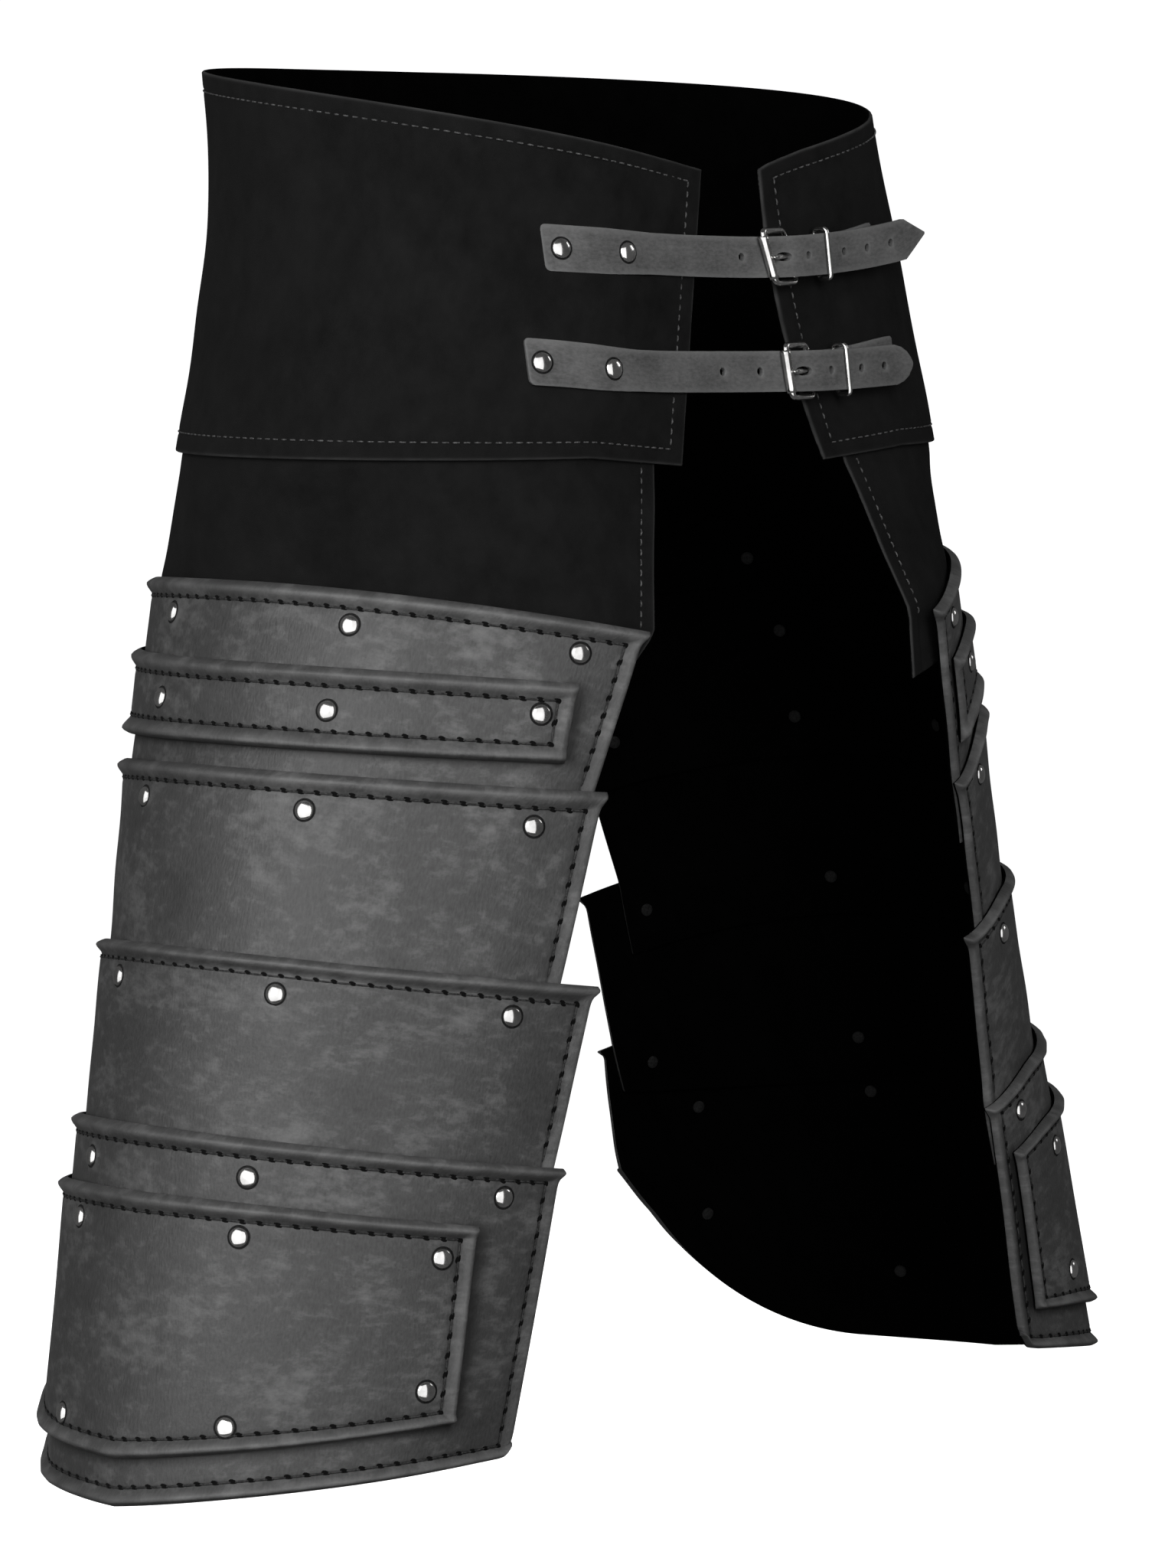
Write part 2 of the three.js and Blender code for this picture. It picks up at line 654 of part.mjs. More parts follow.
// The prong runs from the pivot bar, through the tongue, to rest on the roller bar
function prongSolid(line) {
  const start = strapPoint(line, line.pivot, buckle.pivotHeight, 0);
  const rest = strapPoint(line, line.roller, buckle.rollerHeight + buckle.wire + prong.wire + air, 0);
  const normal = rest.clone().sub(start);
  const length = normal.length() + prong.tip;
  normal.normalize();
  const near = buckle.wire + air;
  const profile = [
    [0, near], [prong.wire, near], [prong.wire, length - prong.taper], [prong.wire / 2, length], [0, length],
  ]
    .map(([x, y]) => new THREE.Vector2(x, y));
  return facingOut(tidied(aimed(new THREE.LatheGeometry(profile, 6), { place: start, normal }, 0)));
}

// A loop in the strap's frame, each corner cut back by radius on both sides and a little in the middle
function roundedLoop(line, corners, radius) {
  const places = corners.map((corner) => new THREE.Vector3(...corner));
  const points = places.flatMap((corner, i) => {
    const before = places[(i + places.length - 1) % places.length];
    const after = places[(i + 1) % places.length];
    const middle = before.clone().lerp(after, 0.5);
    return [[before, radius], [middle, radius * buckle.bulge], [after, radius]].map(([aim, reach]) => (
      corner.clone().addScaledVector(aim.clone().sub(corner).normalize(), reach)
    ));
  });
  return points.map((p) => strapPoint(line, p.x, p.y, p.z));
}

function buildStrap(line) {
  const wide = buckle.halfWidth;
  const frame = roundedLoop(line, [
    [line.roller, buckle.rollerHeight, wide], [line.pivot, buckle.pivotHeight, wide],
    [line.pivot, buckle.pivotHeight, -wide], [line.roller, buckle.rollerHeight, -wide],
  ], buckle.corner);
  const loop = roundedLoop(line, [
    [line.keeper, keeper.low, keeper.halfWidth], [line.keeper, keeper.high, keeper.halfWidth],
    [line.keeper, keeper.high, -keeper.halfWidth], [line.keeper, keeper.low, -keeper.halfWidth],
  ], keeper.corner);
  addPiece(`strap_${line.name}`, tongueSolid(line), 'strap');
  addPiece(`buckle_strap_${line.name}`, buckleStrapSolid(line), 'strap');
  addPiece(`buckle_${line.name}`, wireRing(frame, buckle.wire, 6), 'nickel');
  addPiece(`prong_${line.name}`, prongSolid(line), 'nickel');
  addPiece(`keeper_${line.name}`, wireRing(loop, keeper.wire, 6), 'nickel');
}

buildWaistband();
['right', 'left'].forEach(buildTasset);
straps.forEach(buildStrap);

export default model;
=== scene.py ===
import math

import bmesh
import bpy
import numpy as np
from mathutils import Matrix, Vector
from mathutils.geometry import delaunay_2d_cdt


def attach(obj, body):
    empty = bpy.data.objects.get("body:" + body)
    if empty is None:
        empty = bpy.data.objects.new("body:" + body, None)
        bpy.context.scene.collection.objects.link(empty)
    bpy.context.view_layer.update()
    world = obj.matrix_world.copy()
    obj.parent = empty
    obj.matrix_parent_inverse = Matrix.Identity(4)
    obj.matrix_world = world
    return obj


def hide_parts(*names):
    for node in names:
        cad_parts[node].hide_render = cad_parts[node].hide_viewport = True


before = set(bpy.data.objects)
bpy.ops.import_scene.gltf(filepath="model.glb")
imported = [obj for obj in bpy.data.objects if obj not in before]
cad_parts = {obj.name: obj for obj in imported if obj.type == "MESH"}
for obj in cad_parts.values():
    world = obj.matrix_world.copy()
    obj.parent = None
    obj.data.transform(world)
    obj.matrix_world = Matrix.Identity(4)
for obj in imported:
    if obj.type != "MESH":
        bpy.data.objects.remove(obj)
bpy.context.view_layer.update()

scene = bpy.context.scene
metre = 0.001                                       # shapes are worked out in millimetres


# shader words: a socket whose sums and products become Math nodes
class Signal:
    def __init__(self, tree, socket):
        self.tree = tree
        self.socket = socket

    def math(self, operation, other, flip=False):
        node = self.tree.nodes.new("ShaderNodeMath")
        node.operation = operation
        first, second = (other, self) if flip else (self, other)
        feed(self.tree, node.inputs[0], first)
        feed(self.tree, node.inputs[1], second)
        return Signal(self.tree, node.outputs[0])

    def __add__(self, other):
        return self.math("ADD", other)

    def __radd__(self, other):
        return self.math("ADD", other)

    def __sub__(self, other):
        return self.math("SUBTRACT", other)

    def __rsub__(self, other):
        return self.math("SUBTRACT", other, flip=True)

    def __mul__(self, other):
        return self.math("MULTIPLY", other)

    def __rmul__(self, other):
        return self.math("MULTIPLY", other)


def feed(tree, socket, value):
    if isinstance(value, Signal):
        tree.links.new(value.socket, socket)
    elif value is not None:
        socket.default_value = value


class Finish:
    def __init__(self, name):
        self.material = bpy.data.materials.new(name)
        self.material.use_nodes = True
        self.tree = self.material.node_tree
        self.tree.nodes.clear()
        shaded = self.node("ShaderNodeBsdfPrincipled")
        self.shader = shaded.socket.node
        self.node("ShaderNodeOutputMaterial", None, {"Surface": shaded})

    def node(self, kind, settings=None, sockets=None, out=0):
        node = self.tree.nodes.new(kind)
        for key, value in (settings or {}).items():
            if key == "stops":
                self.setStops(node, value)
            else:
                setattr(node, key, value)
        for key, value in (sockets or {}).items():
            feed(self.tree, node.inputs[key], value)
        return Signal(self.tree, node.outputs[out]) if node.outputs else None

    def setStops(self, node, stops):
        ramp = node.color_ramp
        while len(ramp.elements) < len(stops):
            ramp.elements.new(0.5)
        for element, (place, grey) in zip(ramp.elements, stops):
            element.position = place
            element.color = (grey, grey, grey, 1)

    def surface(self, stretch=(1, 1, 1), turn=0.0):
        place = self.node("ShaderNodeUVMap", {"uv_map": "skin"})
        sockets = {"Vector": place, "Scale": stretch, "Rotation": (0, 0, turn)}
        return self.node("ShaderNodeMapping", None, sockets)

    def inSpace(self):
        return self.node("ShaderNodeTexCoord", out=3)

    def noise(self, where, scale, detail, rough):
        sockets = {"Vector": where, "Scale": scale, "Detail": detail, "Roughness": rough}
        return self.node("ShaderNodeTexNoise", None, sockets)

    def cells(self, where, scale):
        return self.node("ShaderNodeTexVoronoi", {"feature": "F1"}, {"Vector": where, "Scale": scale})

    def ramp(self, value, *stops):
        return self.node("ShaderNodeValToRGB", {"stops": stops}, {"Fac": value})

    def blend(self, share, first, second):
        return self.node("ShaderNodeMix", {"data_type": "RGBA"}, {0: share, 6: first, 7: second}, out=2)

    def mark(self, name):
        return self.node("ShaderNodeAttribute", {"attribute_name": name}, out=2)

    def bump(self, height, strength, distance, below=None):
        sockets = {"Height": height, "Strength": strength, "Distance": distance, "Normal": below}
        return self.node("ShaderNodeBump", None, sockets)

    def wear(self, **sockets):
        for name, value in sockets.items():
            feed(self.tree, self.shader.inputs[name.replace("_", " ")], value)
        return self.material


# a grey with its fourth value; a little warmth makes it redder
def grey(value, warmth=0.0):
    return (value * (1 + warmth), value, value * (1 - warmth), 1)


print("materials")

# tones, scales of the patterns, and how rough and bumpy the black leather is; the last tone and the last
# share are painted shade, laid along seam grooves and beside overlays
plateLook = {
    "dark": 0.028, "mid": 0.062, "light": 0.14, "worn": 0.17, "paintedShadeTone": 0.007,
    "cloudScale": 2.6, "mottleScale": 11, "grainScale": 85, "poreScale": 60,
    "brightShare": 0.75, "fleckShare": 0.22, "wornShare": 0.55, "paintedShadeShare": 0.88,
    "rough": 0.5, "roughSpread": 0.2, "bump": 0.35, "gloss": 0.3,
}


def makePlateLeather(name, look):
    skin = Finish(name)
    where = skin.surface()
    cloud = skin.noise(where, look["cloudScale"], 5.0, 0.62)
    mottle = skin.noise(skin.surface((1, 1.7, 1), 0.4), look["mottleScale"], 4.0, 0.65)
    grain = skin.noise(skin.surface((1, 0.35, 1)), look["grainScale"], 3.0, 0.6)
    pores = skin.cells(where, look["poreScale"])
    patches = skin.ramp(cloud * 0.62 + mottle * 0.38, (0.36, 0.0), (0.5, 0.34), (0.66, 1.0))
    tone = skin.blend(patches, grey(look["dark"]), grey(look["mid"]))
    bright = skin.ramp(cloud * 0.5 + mottle * 0.5, (0.5, 0.0), (0.72, 1.0))
    tone = skin.blend(bright * look["brightShare"], tone, grey(look["light"]))
    flecks = skin.ramp(grain, (0.3, 0.0), (0.75, 1.0))
    tone = skin.blend(flecks * look["fleckShare"], tone, grey(look["light"]))
    tone = skin.blend(skin.mark("rub") * look["wornShare"], tone, grey(look["worn"]))
    # painted shade: darkens the seam grooves and the lame beside the overlays
    tone = skin.blend(skin.mark("dirt") * look["paintedShadeShare"], tone, grey(look["paintedShadeTone"]))
    dents = skin.bump(pores, look["bump"] * 0.4, 0.0004)
    fine = skin.bump(grain + mottle * 0.6, look["bump"], 0.0005, dents)
    rough = look["rough"] + (cloud - 0.5) * look["roughSpread"]
    return skin.wear(Base_Color=tone, Roughness=rough, Normal=fine, Specular_IOR_Level=look["gloss"])


# the suede's inside and the plates' flesh side wear the same finish, darkened as painted shade so that the
# insides stay near black
suedeLook = {
    "deep": 0.0027, "nap": 0.0085, "fluff": 0.01615, "edge": 0.05, "napScale": 9, "fluffScale": 240,
    "rough": 0.96, "gloss": 0.12, "insidePaintedShade": 0.12,
}


def makeSuede(name, look, shade=1.0):
    skin = Finish(name)
    where = skin.surface()
    brushed = skin.noise(skin.surface((1, 0.6, 1), 0.9), look["napScale"], 5.0, 0.7)
    broad = skin.noise(where, look["napScale"] * 0.22, 3.0, 0.6)
    fluff = skin.noise(where, look["fluffScale"], 2.0, 0.7)
    mixed = skin.ramp(brushed * 0.55 + broad * 0.45, (0.34, 0.0), (0.7, 1.0))
    tone = skin.blend(mixed, grey(look["deep"] * shade), grey(look["nap"] * shade))
    raised = skin.ramp(fluff, (0.5, 0.0), (0.8, 1.0))
    tone = skin.blend(raised * 0.4, tone, grey(look["fluff"] * shade))
    tone = skin.blend(skin.mark("rub"), tone, grey(look["edge"] * shade))
    pile = skin.bump(fluff, 0.5, 0.0006)
    gloss = look["gloss"] * shade
    return skin.wear(Base_Color=tone, Roughness=look["rough"], Normal=pile, Specular_IOR_Level=gloss)


strapLook = {
    "dark": 0.046, "light": 0.108, "edge": 0.13, "fibreScale": 70, "cloudScale": 5, "edgeShare": 0.7,
    "rough": 0.62, "roughSpread": 0.2, "gloss": 0.25,
}


def makeStrapLeather(name, look):
    skin = Finish(name)
    fibre = skin.noise(skin.surface((0.5, 1, 1)), look["fibreScale"], 4.0, 0.7)
    cloud = skin.noise(skin.surface(), look["cloudScale"], 4.0, 0.6)
    patches = skin.ramp(cloud * 0.5 + fibre * 0.5, (0.36, 0.0), (0.64, 1.0))
    tone = skin.blend(patches, grey(look["dark"]), grey(look["light"]))
    tone = skin.blend(skin.mark("rub") * look["edgeShare"], tone, grey(look["edge"]))
    nap = skin.bump(fibre, 0.35, 0.0004)
    rough = cloud * look["roughSpread"] + look["rough"]
    return skin.wear(Base_Color=tone, Roughness=rough, Normal=nap, Specular_IOR_Level=look["gloss"])


nickelLook = {
    "bright": 0.8, "dull": 0.55, "warmth": 0.01, "hazeScale": 120, "rough": 0.1, "roughSpread": 0.12,
}


def makeNickel(name, look):
    skin = Finish(name)
    haze = skin.noise(skin.inSpace(), look["hazeScale"], 3.0, 0.6)
    patches = skin.ramp(haze, (0.35, 0.0), (0.65, 1.0))
    tone = skin.blend(patches, grey(look["dull"], look["warmth"]), grey(look["bright"], look["warmth"]))
    return skin.wear(Base_Color=tone, Metallic=1.0, Roughness=haze * look["roughSpread"] + look["rough"])


# dark tone, light tone and roughness of the threads, of the painted shade in the stitch holes, and of the
# painted shade on the rivets' dent rings and on the burrs under the rivets
threadLook = {
    "blackThread": (0.012, 0.04, 0.6), "greyThread": (0.03, 0.09, 0.8),
    "holeShade": (0.0012, 0.002, 1.0), "paintedShadeMetal": (0.003, 0.009, 0.8),
}


def makeThread(name):
    dark, light, rough = threadLook[name]
    skin = Finish(name)
    twist = skin.noise(skin.inSpace(), 900.0, 2.0, 0.6)
    tone = skin.blend(skin.ramp(twist, (0.4, 0.0), (0.6, 1.0)), grey(dark), grey(light))
    return skin.wear(Base_Color=tone, Roughness=rough, Specular_IOR_Level=0.15)


plateLeather = makePlateLeather("plateLeather", plateLook)
# the flesh side and the suede's inside are shaded copies of the suede: their darkness is painted shade
fleshSide = makeSuede("fleshSide", suedeLook, suedeLook["insidePaintedShade"])
suedeSkin = makeSuede("suedeSkin", suedeLook)
suedeInside = makeSuede("suedeInside", suedeLook, suedeLook["insidePaintedShade"])
strapLeather = makeStrapLeather("strapLeather", strapLook)
nickel = makeNickel("nickel", nickelLook)
blackThread, greyThread, holeShade, paintedShadeMetal = [makeThread(name) for name in threadLook]


# sections of the guards, in millimetres and degrees, the same as in the solids: where the middle of each
# guard's curve lies, its radius on each side, and the height and dip of each hem, from the top down
guard = {
    "half": (55, 93, 125, 151, 195),
    "shift": (-5, -9, -14, -15, -16),
    "right": (157, 146, 137, 130, 118),
    "left": (153, 140, 130, 129, 132),
    "side": (-117, -198, -277, -355, -521),
    "dipFront": (31, 14, 19, 20, -17),
    "dipRear": (15, 18, 24, 22),
    "rivetFront": (29, 27.5, 23, 14, 4),
    "rivetSide": (68, 69, 68, 67, 63),
    "rise": {"right": 75, "left": 66}, "riseFrom": 125, "riseOver": 60,    # the lowest hem climbs behind
    "drop": {"right": 0, "left": 14}, "sag": {"right": 0, "left": 3}, "tip": {"right": 0, "left": 0.45},
    "reach": (19, 14.5, 4.5, 0.5),                                         # the left guard hangs askew
    "raise": (10, 12, 9, 4.5), "droop": (11, 26, 12, 11), "askewOver": 24,
    "spacing": (80, 79, 78, 164),
    "wall": 3.0, "step": 3.6, "air": 0.35,
    "warp": 0.5, "warpLength": 110, "warpSeed": {"right": 2, "left": 4},
}

# sections of the waistband: pairs hold its top and its bottom
waist = {
    "wall": 2.5, "height": 172.0, "frontRun": 38, "curveRun": 376, "backRun": 60,
    "half": (58, 89), "shift": (12, -5), "radius": (121, 119), "corner": (20, 50),
    "frontTop": 67, "backTop": 116, "sideBottom": -62, "frontBottom": -67, "endAngle": -18, "bottomTurn": 10,
    "sweep": {"right": 1.0, "left": 2.2}, "climb": {"right": 1.0, "left": 0.8},
    "pinch": {"right": (7, 13.5, 9, 0), "left": (0, 0, 0, 0)}, "pinchRows": (0, 0.3, 0.69, 1),
    "wave": 0.9, "waveSeed": {"right": 6, "left": 7}, "groove": 0.35, "seamInset": 9.0,
}


def mix(a, b, share):
    return a + (b - a) * share


# a smooth curve through points
def catmull(xs, ys, at):
    xs, ys = np.asarray(xs, float), np.asarray(ys, float)
    slopes = np.gradient(ys, xs)
    k = np.clip(np.searchsorted(xs, at) - 1, 0, len(xs) - 2)
    h = xs[k + 1] - xs[k]
    t = np.clip((at - xs[k]) / h, 0, 1)
    return ((2 * t ** 3 - 3 * t ** 2 + 1) * ys[k] + (t ** 3 - 2 * t ** 2 + t) * h * slopes[k]
            + (-2 * t ** 3 + 3 * t ** 2) * ys[k + 1] + (t ** 3 - t ** 2) * h * slopes[k + 1])


def smooth(low, high, value):
    share = np.clip((value - low) / (high - low), 0, 1)
    return share * share * (3 - 2 * share)


# a gentle waviness of -1 to 1: four crossing waves, the longest of the given length
def ripple(a, b, seed, length):
    total = 0
    for k in range(4):
        turn = seed * 1.7 + k * 2.4
        wave = length / (1 + 0.55 * k)
        phase = a * math.tau / wave * math.cos(turn) + b * math.tau / wave * math.sin(turn)
        total = total + np.sin(phase + seed * 5.1 + k)
    return total / 4


# a guard's measure between its hems: level 0 is the top of the first plate, 4 the lowest hem
def along(key, level):
    return np.interp(level, range(5), guard[key])


# the height of a hem at an angle, 0 straight ahead, 90 at the hip and 180 behind
def edgeHeight(index, side, angle):
    sine = np.sin(np.radians(np.clip(angle, 0, 180))) + np.minimum(np.radians(angle), 0)
    if index < 4:
        dip = np.where(angle < 90, guard["dipFront"][index], guard["dipRear"][index])
        height = guard["side"][index] - dip * (1 - sine)
        if side == "right":
            return height
        near = 1 - smooth(guard["reach"][index], guard["reach"][index] + guard["askewOver"], angle)
        raised = guard["raise"][index] * np.where(angle < 90, 1, sine)
        return height + raised - guard["droop"][index] * near
    front = np.where(angle < 90, -guard["dipFront"][4] * np.cos(np.radians(np.maximum(angle, 0))), 0)
    climb = np.maximum((angle - guard["riseFrom"]) / guard["riseOver"], 0)
    drop = guard["drop"][side] * np.sin(np.radians(np.clip(angle, 0, 180)))
    sag = guard["sag"][side] * np.sin(2 * np.radians(np.clip(angle, 90, 180) - 90))
    tip = guard["tip"][side] * np.maximum(-angle, 0)
    return guard["side"][4] + front + guard["rise"][side] * climb ** 2 - drop - sag + tip


def guardPoint(side, level, angle, lift):
    level, angle, lift = np.broadcast_arrays(*(np.asarray(value, float) for value in (level, angle, lift)))
    base = along(side, level)
    turn = np.clip(angle, 0, 180)
    beyond = base * np.radians(angle - turn) * np.where(angle < 0, 1, -1)
    x = along("half", level) + (base + lift) * np.sin(np.radians(turn)) + beyond
    y = along("shift", level) - (base + lift) * np.cos(np.radians(turn))
    low = np.clip(np.floor(level), 0, 3).astype(int)
    z = np.zeros(level.shape)
    for k in range(4):
        here = low == k
        z = np.where(here, mix(edgeHeight(k, side, angle), edgeHeight(k + 1, side, angle), level - k), z)
    return np.stack([x if side == "left" else -x, y, z], -1)


# meshes
def addMesh(name, points, faces, materials, faceMaterial=None, uvs=None, marks=None):
    mesh = bpy.data.meshes.new(name)
    mesh.from_pydata((np.asarray(points) * metre).tolist(), [], faces)
    for material in materials:
        mesh.materials.append(material)
    if faceMaterial is not None:
        mesh.polygons.foreach_set("material_index", faceMaterial)
    mesh.polygons.foreach_set("use_smooth", [True] * len(faces))
    if uvs is not None:
        layer = mesh.uv_layers.new(name="skin")
        loops = np.zeros(len(mesh.loops), int)
        mesh.loops.foreach_get("vertex_index", loops)
        layer.data.foreach_set("uv", np.asarray(uvs, np.float32)[loops].ravel())
    for key, values in (marks or {}).items():
        layer = mesh.attributes.new(key, "FLOAT", "POINT")
        layer.data.foreach_set("value", np.asarray(values, np.float32))
    piece = bpy.data.objects.new(name, mesh)
    scene.collection.objects.link(piece)
    work = bmesh.new()
    work.from_mesh(mesh)
    bmesh.ops.remove_doubles(work, verts=work.verts, dist=2e-6)
    bmesh.ops.recalc_face_normals(work, faces=work.faces)
    work.to_mesh(mesh)
    work.free()
    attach(piece, "root")
    return piece


# a closed sheet from two grids of points, its outside and its inside
def closedSheet(name, outer, inner, materials, uv, seed, rub, dirt, replaced):
    rows, columns = outer.shape[:2]
    count = rows * columns
    index = np.arange(count).reshape(rows, columns)
    a, b, c, d = index[:-1, :-1], index[:-1, 1:], index[1:, 1:], index[1:, :-1]
    front = np.stack([a, b, c, d], -1).reshape(-1, 4)
    back = np.stack([a, d, c, b], -1).reshape(-1, 4) + count
    points = np.concatenate([outer.reshape(-1, 3), inner.reshape(-1, 3)])
    flatUv = np.concatenate([uv.reshape(-1, 2), uv.reshape(-1, 2)]) / 100 + (seed * 3.17, seed * 7.31)
    clean = np.zeros(count)
    # the rub mark is wear; the other mark is painted shade, none of it on the inside
    marks = {
        "rub": np.concatenate([rub.ravel(), clean]),
        "dirt": np.concatenate([clean if dirt is None else dirt.ravel(), clean]),
    }
    kinds = [0] * len(front) + [1] * len(back)
    faces = np.concatenate([front, back]).tolist()
    piece = addMesh(name, points, faces, materials, kinds, flatUv, marks)
    return dress(piece, replaced)


def dress(piece, replaced):
    if replaced:
        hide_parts(*replaced)
    return piece


# how far in from an edge the fine rows and columns of a mesh stand; the first five serve a plain edge
edgeSteps = np.array([0, 0.1, 0.4, 0.9, 1.6, 2.5, 3.6, 4.8, 6.0, 6.9, 7.5, 8.1, 8.7, 9.5, 11.0])
edgeWidth = edgeSteps[-1]


def stepsBetween(size, gap, startFine, endFine):
    start = edgeSteps if startFine else edgeSteps[:5]
    end = edgeSteps if endFine else edgeSteps[:5]
    count = max(int((size - start[-1] - end[-1]) / gap), 1)
    middle = np.linspace(start[-1], size - end[-1], count + 1)
    return np.concatenate([start, middle[1:-1], size - end[::-1]])


# 0 at an edge and 1 from the radius on, as a quarter circle
def roundOff(distance, radius):
    share = np.clip(1 - distance / radius, 0, 1)
    return np.sqrt(np.maximum(1 - share * share, 0))


# turned edges: how high the roll stands along the top and low edges and at the sides, and its seam's groove
hem = {
    "height": 3.0, "side": 1.6, "crest": 2.6, "sideCrest": 2.0, "inset": 8.2, "groove": 0.4,
    "grooveWidth": 1.3, "round": 2.9, "sideRound": 2.2, "plainRound": 1.5, "nub": 5.5,
}


def hemBulge(distance, height, crest):
    fall = 0.5 + 0.5 * np.cos(math.pi * np.clip((distance - crest) / (hem["inset"] - crest), 0, 1))
    return height * smooth(-1.5, crest, distance) * fall


# top and low: levels in front and at the hip; front and frontLow: angles of the front edge; on: the lame
# whose step it follows; cut and trim: how far the left guard's front and rear are cut back, above and below
plates = {
    "lame_a": {
        "top": (0, 0), "low": (1.46, 1.46), "front": 19, "frontLow": 14, "on": 0, "corner": 3.2,
        "seed": 1, "cut": (2, 1.5), "trim": (3, 3),
    },
    "lame_b": {
        "top": (1, 1), "low": (2.46, 2.46), "front": 14.5, "frontLow": 10.2, "on": 1, "corner": 2.4,
        "seed": 2, "cut": (1.5, 1), "trim": (5.5, 5),
    },
    "lame_c": {
        "top": (2, 2), "low": (3.24, 3.24), "front": 4.5, "frontLow": -0.3, "on": 2, "corner": 3.8,
        "seed": 3, "cut": (2.5, 2), "trim": (3.6, 3),
    },
    "lame_d": {
        "top": (3, 3), "low": (4, 4), "front": 0.5, "frontLow": -12, "on": 3, "corner": 3.6,
        "seed": 4, "cut": (2, 6), "trim": (2, 0), "rolledLow": True,
    },
    "band_overlay": {
        "top": (0.31, 0.43), "low": (0.82, 0.88), "front": 27.5, "frontLow": 24.5, "on": 0, "corner": 0.8,
        "seed": 5, "cut": (-3.5, -3.5), "rolledLow": True, "over": True, "sideHem": 0.8, "shade": 4.2,
    },
    "panel_overlay": {
        "top": (3.21, 3.17), "low": (3.83, 3.87), "front": 18, "frontLow": 10.5, "on": 3, "corner": 1.0,
        "seed": 6, "cut": (-12, -9.5), "rolledLow": True, "over": True, "sideHem": 2.3, "shade": 5.2,
    },
}


# how far a plate's outer face lies off the guard's own surface; an overlay lies on its lame
def plateLift(plate, level):
    over = guard["wall"] + guard["air"] if plate.get("over") else 0
    return over - hem["height"] - guard["step"] * (level - plate["on"])


# how far a guard's leather waves in and out
def warpAt(side, angle, level):
    return guard["warp"] * ripple(angle * 2.4, level * 80, guard["warpSeed"][side], guard["warpLength"])


def levelOn(plate, angle, share):
    sine = np.sin(np.radians(np.clip(angle, 0, 180)))
    top = mix(plate["top"][0], plate["top"][1], sine)
    low = mix(plate["low"][0], plate["low"][1], sine)
    return mix(top, low, share)


# angles and levels of a plate's points and their distances from its four edges; shares run 0 to 1 down it,
# and the columns stand in from the front edge, between the edges, or in from the rear edge
def plateGrid(side, plate, shares, columns):
    spacing = guard["spacing"][plate["on"]]
    size = spacing * (plate["low"][1] - plate["top"][1])
    if plate["low"][1] > plate["on"] + 1:
        size = spacing + guard["spacing"][min(plate["on"] + 1, 3)] * (plate["low"][1] - plate["on"] - 1)
    share = shares[:, None]
    front = mix(plate["front"], plate["frontLow"], share)
    cut = mix(*plate["cut"], share) if side == "left" else 0
    near = share * size
    nub = plate["corner"] * np.exp(-(near / hem["nub"]) ** 2)  # the rolled hem's end juts out a little
    if plate.get("over"):
        nub = nub + plate["corner"] * 0.5 * np.exp(-((size - near) / hem["nub"]) ** 2)
    radius = along(side, levelOn(plate, 90, share))
    front = front - np.degrees(nub / radius)
    trim = mix(*plate.get("trim", (0, 0)), share) if side == "left" else 0
    width = np.radians(180 - 2 * front - cut - trim) * radius
    front = front + cut
    inset, place = columns
    between = mix(edgeWidth, width - edgeWidth, np.clip(place, 0, 1))
    distance = np.where(place < 0, inset, np.where(place > 1, width - inset, between))
    angle = front + np.degrees(distance / radius)
    level = levelOn(plate, angle, share)
    return angle, level, near + 0 * angle, size - near + 0 * angle, distance, width - distance


def plateColumns(count):
    edge = edgeSteps[:-1]
    inset = np.concatenate([edge, np.full(count + 1, edgeWidth), edge[::-1]])
    before, after = np.full(len(edge), -1.0), np.full(len(edge), 2.0)
    return inset, np.concatenate([before, np.linspace(0, 1, count + 1), after])


# the outer and inner face of a plate with its turned edges, the roll's height and how near a turned edge is
def outerLift(plate, angle, level, fromTop, fromLow, fromFront, fromRear):
    rolledLow = plate.get("rolledLow", False)
    fromSide = np.minimum(fromFront, fromRear)
    uneven = 1 + 0.16 * ripple(angle * 2.5, level * 80, plate["seed"] + 3, 60)
    bulges = [hemBulge(fromTop, hem["height"], hem["crest"]) * uneven]
    bulges.append(hemBulge(fromSide, plate.get("sideHem", hem["side"]), hem["sideCrest"]))
    if rolledLow:
        bulges.append(hemBulge(fromLow, hem["height"], hem["crest"]) * uneven)
    bulge = sum(each ** 3 for each in bulges) ** (1 / 3)       # the rolls run into each other at the corners
    stitched = [fromTop, fromFront, fromRear] + ([fromLow] if rolledLow else [])
    nearest = np.minimum.reduce(stitched)
    groove = hem["groove"] * np.exp(-((nearest - hem["inset"]) / hem["grooveWidth"]) ** 2)
    half = guard["wall"] / 2
    rounding = roundOff(fromTop, hem["round"]) * roundOff(fromSide, hem["sideRound"])
    rounding = rounding * roundOff(fromLow, hem["round"] if rolledLow else hem["plainRound"])
    lift = -half + (bulge + half) * rounding - groove
    inside = -half - half * roundOff(np.minimum(nearest, fromLow), hem["plainRound"])
    if plate.get("over"):                                      # a fine ridge along an overlay's side edges
        lift = lift + 0.5 * np.exp(-((fromSide - 3.2) / 0.7) ** 2) * roundOff(fromTop, 8.0)
    return lift, inside, bulge, nearest


